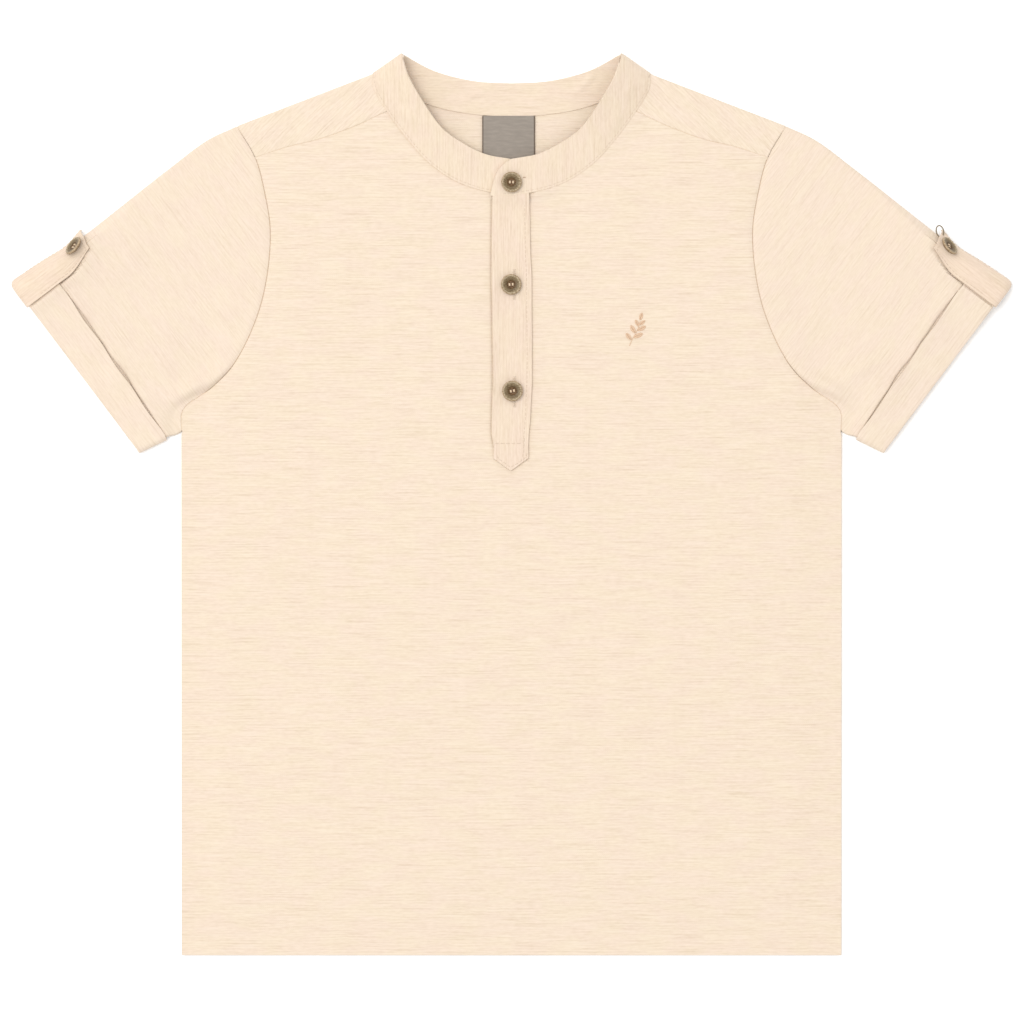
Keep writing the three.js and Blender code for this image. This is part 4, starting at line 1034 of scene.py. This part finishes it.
def beside_edges(spots, share):
    """How far the sleeve or cuff rises beside the tab, and the sleeve beside the cuff."""
    edge = np.array(TAB_EDGE)
    on_cuff = mix(cuff_top, np.array(CUFF_UNDERARM), ACROSS[:, None])
    from_cuff = np.maximum(0, (on_cuff - spots) @ hem_way)
    opened = np.minimum(1, cuff_bulge(ACROSS) / PUFF["open_at"])
    within = smooth((ACROSS - 0.1) / 0.04) * smooth((1 - ACROSS) / 0.1) * (1 - 0.3 * opened)
    by_cuff = puff(from_cuff - PUFF["opened"] * opened) * within * (share < 1)
    nearest, beyond = np.full(len(spots), np.inf), np.zeros(len(spots))
    for p, q in zip(edge, edge[1:]):
        along = np.clip((spots - p) @ (q - p) / ((q - p) @ (q - p)), 0, 1)
        away = np.linalg.norm(spots - p - along[:, None] * (q - p), axis=1)
        side = (spots - p)[:, 0] * (q - p)[1] - (spots - p)[:, 1] * (q - p)[0]
        beyond = np.where(away < nearest, -side, beyond)
        nearest = np.minimum(nearest, away)
    by_tab = puff(nearest - PUFF["tab_gap"]) * (beyond > 0) * BESIDE_TAB
    return np.maximum(by_cuff, by_tab)


def sleeve_ring(share, creases):
    """One ring of the sleeve: spots, heights, facings, and how far each lies on the upper layer."""
    lie = sleeve_lie(share)
    high = lie.top_inset + lie.roll_run
    top_z = float(sleeve_height(lie, 0.0))
    back_across = ACROSS[::-1]
    low_spots = across_sleeve(lie, back_across, lie.top_inset)
    low_rise = relief(*low_spots.T, creases) * LOW_CREASES * smooth(share / 0.1) * (share < 1)
    down, up = (np.tile((0, 0, way), (len(ACROSS), 1)) for way in (-1.0, 1.0))
    parts = [(low_spots, lie.low + np.maximum(0, -low_rise), down, 0 * ACROSS)]

    def arc(angles, inset, centre, radius, way, across):
        turn = turned(angles)
        spot = across_sleeve(lie, np.full(len(angles), across), inset) + way * turn[:, :1] * radius
        facing = np.column_stack([way * turn[:, :1], turn[:, 1]])
        parts.append((spot, centre + turn[:, 1] * radius, facing, 0 * angles))

    arc(SLEEVE_ARCS["low"], lie.top_inset, lie.low + FOLD_RADIUS, FOLD_RADIUS, lie.top_turn, 0.0)
    arc(SLEEVE_ARCS["high"], high, top_z - FOLD_RADIUS, FOLD_RADIUS, lie.top_turn, 0.0)
    spots = across_sleeve(lie, ACROSS, high)
    calm = smooth(share / 0.03) * smooth((1.05 - share) / 0.12)
    calm = calm * smooth(ACROSS / 0.1) * smooth((1 - ACROSS) / 0.05)
    z = sleeve_height(lie, ACROSS) + relief(spots[:, 0], spots[:, 1], creases) * calm
    if share < 1:
        z = z + beside_edges(spots, share) + over_seam(spots) * smooth((0.8 - share) / 0.5)
        off = np.maximum(0, to_line(spots, arm_line) - SEAM_LIP)
        z = z + arm_dip(*armhole.at(ACROSS).T, off) * smooth(ACROSS / 0.05)
    parts.append((spots, z, up, ACROSS))
    under_radius = (float(sleeve_height(lie, 1.0)) - lie.low) / 2
    arc(SLEEVE_ARCS["under"], high, lie.low + under_radius, under_radius, lie.under_turn, 1.0)
    return [np.concatenate(columns) for columns in zip(*parts)]


def cuff_bulge(across):
    lip = CUFF_LIP * smooth((across - 0.12) / 0.1) * smooth((1 - across) / 0.1)
    bulges = (height * np.exp(-((across - place) / width) ** 2) for place, height, width in CUFF_BULGES)
    return lip + sum(bulges)


def sleeve_grid(creases):
    """The rows of the tube, along the sleeve, round the hem and back up the cuff, and their cut places."""
    main = np.concatenate([[0, 0.009], np.linspace(0, 0.93, 48)[1:], np.linspace(0.935, 1, 15)])
    rows = [(s, -90) for s in main] + [(s, -90) for s in np.linspace(1, 2, 10)[1:-1]]
    rows += [(2.0, a) for a in np.linspace(-90, 90, 8)] + [(s, 90) for s in np.linspace(2, 1, 12)[1:]]
    grid, flat = [], []
    for share, angle in rows:
        spot, z, facing, across = sleeve_ring(share, creases)
        turn = turned(angle)
        point = np.column_stack([spot, z]) + facing * TURN_RADIUS * (1 + turn[1])
        point[:, :2] += hem_way * TURN_RADIUS * turn[0]
        if angle == 90:
            point[:, 2] += cuff_bulge(across) * (across > 0) * (2 - share) ** 2
            last = len(point) - len(SLEEVE_ARCS["under"])
            upper = slice(last - len(ACROSS), last)
            point[upper, 2] += beside_edges(spot[upper], share)
            wander = CUFF_WANDER * np.sin(across * 23 + 1) * (across > 0) * (2 - share) ** 3
            point[:, :2] += hem_way * wander[:, None]
        grid.append(point)
        along = point[:, :2] @ hem_way
        place = np.column_stack([point[:, :2] @ hem_line, along + (CUFF_SHIFT if angle > -90 else 0)])
        flat.append(np.vstack([place, place[:1]]))
    return np.array(grid), np.array(flat)


for side, name, creases in ((1, "left", SLEEVE_CREASES[0]), (-1, "right", SLEEVE_CREASES[1])):
    grid, flat = sleeve_grid(creases)
    squares = grid_faces(grid.shape[0] - 1, grid.shape[1], closed=True)
    numbers, places = (corners[:, ::-side] for corners in squares)
    lips = np.full(grid.shape[:2], FREE_EDGE)
    lips[0] = SEAM_LIP + LIP_LAP
    sleeve_linen = linen(f"linen_sleeve_{name}", SLEEVE_LINEN, 130.0 + 37 * side, SLEEVE_DEPTH)
    sleeve = cloth(f"sleeve_{name}_linen", grid.reshape(-1, 3) * (side, 1, 1), numbers,
                   flat.reshape(-1, 2)[places], sleeve_linen, round_out=lips.ravel())
    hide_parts(f"sleeve_{name}")

# Sleeve tabs
# A doubled linen tab is caught in each hem. It comes round the cuff and lies over the sleeve's
# top fold, to a pointed tip that its button holds down.
HOOK_RADIUS = TURN_RADIUS + LAYER
# From the hem to the tip: the inner edge seen from above, the way along, and how far the tab
# stands off the sleeve to the side and upwards
TAB_STATIONS = [
    (260.4, 106.8, 0.0, 3.9, 2.6), (252.3, 112.9, 9.5, 3.6, 2.6), (244.3, 119.0, 19.0, 3.0, 2.6),
    (237.5, 124.3, 27.0, 2.2, 1.9), (233.6, 129.2, 33.0, 1.6, 1.6), (230.6, 134.0, 38.5, 2.2, 1.7),
    (227.9, 138.2, 45.0, 4.0, 2.2),
]
TAB_COLUMNS = 4
# The tip's outer corner lies further up the sleeve than its inner one
TAB_LEAN = 2.2
TAB_ARCS = {"high": (90, 66, 42), "low": (15, -12)}
TAB_LINEN = (250, 227, 203)
TAB_WALL = 1.0
TAB_HOOK_ROWS = 14
# Painted shade: a small dark oval of thread on the upper corner of the wearer's left tab, along a small
# fold's shaded outline
FOLD_SHADE_RING = {"x": 231.2, "y": 147.2, "long": 3.1, "wide": 2.0, "turn": 0.23, "radius": 0.34}
FOLD_SHADE_COLOUR = (146, 128, 100)


def tab_row(station, angle):
    """Control spots across the tab, from its inner edge over the sleeve's fold to its outer edge."""
    inner_x, inner_y, along, stand, lift = station
    turn = turned(angle)
    reach = [HOOK_RADIUS if turn[1] < 0 else full - TURN_RADIUS for full in (stand, lift)]
    stand, lift = (TURN_RADIUS + one * turn[1] for one in reach)
    beyond = hem_way * HOOK_RADIUS * turn[0]
    in_cuff = along <= cuff_depth
    lie = sleeve_lie(2 - along / cuff_depth if in_cuff else 1 - (along - cuff_depth) / sleeve_top.length)
    inner = np.array([inner_x, inner_y]) - hem_way * max(0, lie.share - 1) * (TURN_RADIUS + BACK_Z)
    high = across_sleeve(lie, 0.0, lie.top_inset + lie.roll_run)
    width = np.linalg.norm(inner - high) / np.linalg.norm(lie.top - lie.under)
    row = []
    for share in np.arange(TAB_COLUMNS) / TAB_COLUMNS:
        level = float(sleeve_height(lie, (1 - share) * width))
        row.append([*(mix(inner, high, share) + beyond), level + lift])
    for name, angles in TAB_ARCS.items():
        centre = high if name == "high" else across_sleeve(lie, 0.0, lie.top_inset)
        level = float(sleeve_height(lie, 0.0)) - FOLD_RADIUS if name == "high" else lie.low + FOLD_RADIUS
        for degrees in angles:
            way = turned(degrees)
            lean = TAB_LEAN * smooth((along - 30) / 15) * (90 - degrees) / 100
            spot = centre + lie.top_turn * way[0] * (FOLD_RADIUS + stand) + beyond - hem_way * lean
            row.append([*spot, level + way[1] * (FOLD_RADIUS + lift)])
    return row


def tab_grid():
    rows = [tab_row(TAB_STATIONS[0], angle) for angle in (-45, -5, 40)]
    rows += [tab_row(station, 90) for station in TAB_STATIONS]
    control = np.array(rows)
    fine = Run(control.reshape(len(control), -1), 12).at(np.linspace(0, 1, 57)).reshape(57, -1, 3)
    turned_round = fine.transpose(1, 0, 2)
    fine = Run(turned_round.reshape(len(turned_round), -1), 12).at(np.linspace(0, 1, 29)).reshape(29, -1, 3)
    return fine.transpose(1, 0, 2)


tab = tab_grid()
tab_long = np.concatenate([[0], np.cumsum(np.linalg.norm(np.diff(tab.mean(1), axis=0), axis=1))])
tab_wide = np.concatenate([[0], np.cumsum(np.linalg.norm(np.diff(tab.mean(0), axis=0), axis=1))])
tab_flat = np.stack(np.meshgrid(tab_long, tab_wide, indexing="ij"), -1).reshape(-1, 2)
tab_faces, tab_places = grid_faces(tab.shape[0] - 1, tab.shape[1] - 1)
tab_normals = normals_of(tab.reshape(-1, 3), tab_faces).reshape(tab.shape)
tab_upper = tab + tab_normals * TAB_WALL / 2


def shaded_fold_ring():
    """A dark oval of thread that lies on the tab's corner: painted shade along a small fold's outline."""
    angles = np.linspace(0, 2 * math.pi, 19)
    x, y = FOLD_SHADE_RING["wide"] * np.cos(angles), FOLD_SHADE_RING["long"] * np.sin(angles)
    spots = np.column_stack([
        FOLD_SHADE_RING["x"] + x * math.cos(FOLD_SHADE_RING["turn"]) - y * math.sin(FOLD_SHADE_RING["turn"]),
        FOLD_SHADE_RING["y"] + x * math.sin(FOLD_SHADE_RING["turn"]) + y * math.cos(FOLD_SHADE_RING["turn"]),
    ])
    under = tab_upper.reshape(-1, 3)
    level = under[np.hypot(*(under[:, :2] - (FOLD_SHADE_RING["x"], FOLD_SHADE_RING["y"])).T).argmin(), 2] + FOLD_SHADE_RING["radius"]
    points = np.column_stack([spots, np.full(len(spots), level)])
    turns = [(p - (q - p) * 0.25, q + (q - p) * 0.25, (0, 0, 1)) for p, q in zip(points, points[1:])]
    return threads("tab_left_fold_shade", turns, cotton("cotton_fold_shade", FOLD_SHADE_COLOUR, 0.5), FOLD_SHADE_RING["radius"], 0.02)


def inside_edge(grid):
    """A line just inside the tab's edge: up one side, across the tip and back down the other."""
    return np.vstack([grid[TAB_HOOK_ROWS:-3, 2], grid[-3, 2:-2], grid[-3:TAB_HOOK_ROWS:-1, -3]])


for side, name in ((1, "left"), (-1, "right")):
    numbers, places = tab_faces[:, ::side], tab_places[:, ::side]
    piece = cloth(f"tab_{name}_linen", tab.reshape(-1, 3) * (side, 1, 1), numbers, tab_flat[places],
                  linen(f"linen_tab_{name}", TAB_LINEN, 210.0 + 13 * side), thick=TAB_WALL)
    row = stitch_row(inside_edge(tab_upper) * (side, 1, 1), inside_edge(tab_normals) * (side, 1, 1), 1.9, 0.5)
    stitches = threads(f"tab_{name}_stitches", row, cotton(f"cotton_tab_{name}", THREAD))
    tab_extras = [stitches, shaded_fold_ring()] if side == 1 else [stitches]
    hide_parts(f"tab_{name}")

# Neck label
# A small plain tape, woven in grey with darker selvedges, sewn into the back neck seam.
LABEL = {"left": -15.7, "right": 12.6, "top": 208.6, "length": 30}
LABEL_GREY = (164, 153, 141)
LABEL_EDGE_GREY = (104, 88, 74)
LABEL_WALL = 0.6
LABEL_SELVEDGE = 0.7


def label_tape(name, colour, width):
    """Grey satin tape: fine upright ribs with painted shade in their hollows, faint weft lines, and a dark
    selvedge down each side.
    """
    material, shader, across, down = plain_material(name)
    rib = (across * (2 * math.pi / 0.45)).sine() * (down * (2 * math.pi / 0.6)).sine()
    cloudy = across.flecks(down, 6, 1.2, 3.3, 3.0)
    # Its tone follows soft clouds and the ribs; the ribs' hollows are painted darker, as shade.
    light = (cloudy * 0.8 + rib * 0.12).step(0.1, 0.9)
    face = light.blend(tint([0.93 * v for v in colour]), tint([1.05 * v for v in colour]))
    middle = across - width / 2
    selvedge = (middle * middle).root().step(width / 2 - LABEL_SELVEDGE, width / 2 - LABEL_SELVEDGE / 2)
    face = selvedge.blend(face, tint(LABEL_EDGE_GREY))
    bump = (rib * 0.03 + cloudy * 0.05).bump(0.5)
    face.feeds(shader, "Base Color")
    bump.feeds(shader, "Normal")
    shader.inputs["Roughness"].default_value = 0.55
    shader.inputs["Specular IOR Level"].default_value = 0.3
    return material


label_width = LABEL["right"] - LABEL["left"]
down, across = np.meshgrid(np.linspace(0, 1, 31), np.linspace(0, 1, 29), indexing="ij")
x = mix(LABEL["left"], LABEL["right"], across)
y = LABEL["top"] + 1.0 - down * LABEL["length"]
z = BACK_Z + LAYER - 0.15 + 0.25 * np.sin(across * 3.0 + 0.4) * smooth(down / 0.3)
numbers, places = grid_faces(30, 28)
flat = np.stack([across * label_width, down * LABEL["length"]], -1).reshape(-1, 2)
label = cloth("neck_label", np.stack([x, y, z], -1).reshape(-1, 3), numbers[:, ::-1], flat[places[:, ::-1]],
              label_tape("label_tape", LABEL_GREY, label_width), thick=LABEL_WALL, round_out=0.1)
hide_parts("label")

# Buttons
# Turned from corozo nut: a rounded rim, a pale ring inside it, a dished darker face and four
# holes in a small sunk middle. The pale ring is partly a painted highlight, and the darker outer
# rim partly painted shade. Each is sewn on with two bars of pale thread.
BUTTON_PROFILE = [
    (0, 0), (3.6, 0), (4.6, 0.6), (5.3, 1.15), (5.55, 1.6), (5.5, 2.0), (5.25, 2.35), (4.9, 2.5),
    (4.6, 2.42), (4.35, 2.2), (4.05, 2.02), (3.5, 1.86), (2.7, 1.72), (2.3, 1.6), (2.05, 1.3), (1.85, 1.2),
]
BUTTON_HEIGHT = 2.5
HOLE = {"spread": 1.22, "radius": 0.42, "depth": 0.75}
FRONT_BUTTONS = [(0, 173.7), (-0.2, 118.5), (0.5, 61.0)]
SLEEVE_BUTTON = {"x": 235.9, "y": 139.0, "z": 10.9, "tilt": 64, "heading": 38}
# Rings of colour, by their distance from the middle along the unrolled face. The pale ring inside
# the rim is partly a painted highlight, and the darker rings on and under the rim partly painted shade
BUTTON_RINGS_AND_PAINTED_LIGHT = [
    (0.0, (122, 84, 48)), (1.9, (124, 92, 58)), (2.3, (116, 91, 60)), (3.0, (126, 105, 74)),
    (3.9, (146, 126, 94)), (4.5, (168, 149, 118)), (4.9, (212, 194, 164)), (5.3, (190, 169, 140)),
    (6.0, (212, 186, 152)), (7.0, (150, 124, 94)),
]
BUTTON_REACH = 12.0
BUTTON_SIDES = 64
BUTTON_GRAIN = (205, 190, 160)
BUTTON_THREAD = (255, 228, 192)
STRAND = {"apart": 0.22, "level": 1.28, "radius": 0.26, "arch": 0.34}


def corozo(name, seed):
    """Polished corozo: rings of colour from the turning, partly painted highlight and shade at the rim, with
    a mottled grain over them.
    """
    material, shader, x, y = plain_material(name)
    grain = x.flecks(y, 1.1, 0.55, seed, 4.0)
    cloudy = x.flecks(y, 3.2, 2.4, seed + 9.0, 2.0)
    reach = ((x * x + y * y).root() + (cloudy - 0.5) * 0.5) / BUTTON_REACH
    stops = [(radius / BUTTON_REACH, tint(colour)) for radius, colour in BUTTON_RINGS_AND_PAINTED_LIGHT]
    rings = reach.node("ShaderNodeValToRGB", {"stops": stops}, {0: reach})
    face = grain.step(0.42, 0.62).blend(rings, rings.times(tint(BUTTON_GRAIN), 0.75))
    bump = (grain * 0.06).bump(0.4)
    face.feeds(shader, "Base Color")
    bump.feeds(shader, "Normal")
    (grain * 0.25 + 0.3).feeds(shader, "Roughness")
    shader.inputs["Specular IOR Level"].default_value = 0.25
    return material


def button(name, middle, facing, seed, spin):
    """One button with its two bars of thread, its underside's middle on the spot given."""
    facing = Vector(facing)
    turn = Vector((0, 0, 1)).rotation_difference(facing).to_matrix()
    outer = Run(BUTTON_PROFILE, 12).at(np.linspace(0, 1, 52))
    well_radius, well_height = BUTTON_PROFILE[-1]
    inner = np.column_stack([np.linspace(well_radius, 0.1, 17)[1:], np.full(16, well_height)])
    profile = np.vstack([outer[1:], inner])
    angles = np.arange(BUTTON_SIDES) * 2 * math.pi / BUTTON_SIDES
    x = profile[:, :1] * np.cos(angles)
    y = profile[:, :1] * np.sin(angles)
    z = np.repeat(profile[:, 1:], BUTTON_SIDES, 1)
    quarters = np.arange(4) * math.pi / 2 + spin
    corners = [(HOLE["spread"] * math.cos(a), HOLE["spread"] * math.sin(a)) for a in quarters]
    pits = sum(smooth(1.6 - 1.6 * np.hypot(x - hx, y - hy) / HOLE["radius"]) for hx, hy in corners)
    z = z - HOLE["depth"] * pits * (profile[:, :1] < 1.8) * (z > 1.0)
    points = np.stack([x, y, z], -1).reshape(-1, 3)
    numbers = grid_faces(len(profile) - 1, BUTTON_SIDES, closed=True)[0]
    first_ring = list(range(BUTTON_SIDES))
    last_ring = [(len(profile) - 1) * BUTTON_SIDES + k for k in first_ring]
    faces = numbers.tolist() + [first_ring[::-1], last_ring]
    steps = np.linalg.norm(np.diff(profile, axis=0), axis=1)
    unrolled = np.append(np.cumsum(steps[::-1])[::-1], 0) + profile[-1, 0]
    flat = (unrolled[:, None, None] * np.stack([np.cos(angles), np.sin(angles)], -1)).reshape(-1, 2)
    uv = np.vstack([flat[face] for face in faces])
    placed = points @ np.array(turn).T + middle
    piece = shown(f"{name}_corozo", placed, faces, uv, corozo(f"corozo_{name}", seed), sharp=60)
    strands = []
    for a, b, opposite in ((corners[0], corners[1], corners[3]), (corners[3], corners[2], corners[0])):
        beside = unit(np.subtract(a, opposite)) * STRAND["apart"]
        for k in (-1, 1):
            ends = [(*(np.array(p) + beside * k), STRAND["level"]) for p in (a, b)]
            strands.append((*(np.array(end) @ np.array(turn).T + middle for end in ends), tuple(facing)))
    pale = cotton(f"cotton_{name}", BUTTON_THREAD, 0.5)
    threads(f"{name}_thread", strands, pale, STRAND["radius"], STRAND["arch"])
    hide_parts(name)


for i, (x, y) in enumerate(FRONT_BUTTONS):
    under = OVER_END_Z + BAND / 2 if i == 0 else float(front_height(x, y)) + LAYER + PLACKET_WALL / 2
    button(f"button_{i + 1}", np.array((x, y, under + 0.1)), (0, 0, 1), 3.0 + 5 * i, -0.8 + 0.1 * i)
for side, name in ((1, "left"), (-1, "right")):
    lean, way = turned(90 - SLEEVE_BUTTON["tilt"]), turned(SLEEVE_BUTTON["heading"])
    facing = np.array((side * way[0] * lean[0], way[1] * lean[0], lean[1]))
    middle = np.array((side * SLEEVE_BUTTON["x"], SLEEVE_BUTTON["y"], SLEEVE_BUTTON["z"]))
    button(f"button_sleeve_{name}", middle - facing * BUTTON_HEIGHT / 2, facing, 31.0 + 5 * side, 0.4)

# Chest sprig
# A small sprig of leaves, worked on the wearer's left chest in satin stitch with peach thread.
SPRIG = {"x": 67.8, "y": 92.3, "lift": 0.5}
SPRIG_THREAD = (252, 216, 182)
SPRIG_STEM = [(-4.2, -7.0), (-2.6, -3.4), (-0.4, 0.4), (1.0, 3.6), (1.6, 6.6)]
# Each leaf: where it leaves the stem, the way it points, its length and its width
SPRIG_LEAVES = [
    (0.22, 128, 5.0, 2.3), (0.34, 22, 5.6, 2.5), (0.5, 120, 5.2, 2.4), (0.62, 28, 5.4, 2.4),
    (0.78, 116, 4.2, 2.0), (0.84, 38, 4.0, 1.9), (1.0, 76, 4.4, 2.1),
]
SPRIG_STEP = 0.34


def on_front(spots):
    """Spots on the front's upper face, as stitches lie on it."""
    x, y = np.array(spots, float).T
    return np.column_stack([x, y, front_height(x, y) + front_relief(x, y) + SPRIG["lift"]])


def satin_leaf(stem, share, degrees, length, width):
    """A leaf's slanting stitches, from its middle vein out to each side."""
    root, way = stem.at(share), turned(degrees)
    side = np.array([-way[1], way[0]])
    bars = []
    for along in np.arange(0.1, 0.97, SPRIG_STEP / length):
        half = width / 2 * math.sin(math.pi * along ** 0.8) ** 0.7
        for hand in (-1, 1):
            vein = root + way * along * length
            bars.append((vein, vein + side * hand * half + way * half * 0.7))
    return bars


stem = Run(np.array(SPRIG_STEM) + (SPRIG["x"], SPRIG["y"]))
bars = [bar for leaf in SPRIG_LEAVES for bar in satin_leaf(stem, *leaf)]
starts, ends = (on_front([bar[k] for bar in bars]) for k in (0, 1))
stitches = [(a, b, (0, 0, 1)) for a, b in zip(starts, ends)]
stitches += stitch_row(on_front(stem.points(0.8)), length=1.6, gap=-0.2)
sprig = threads("chest_sprig", stitches, cotton("cotton_sprig", SPRIG_THREAD, 0.5), radius=0.2, arch=0.08)
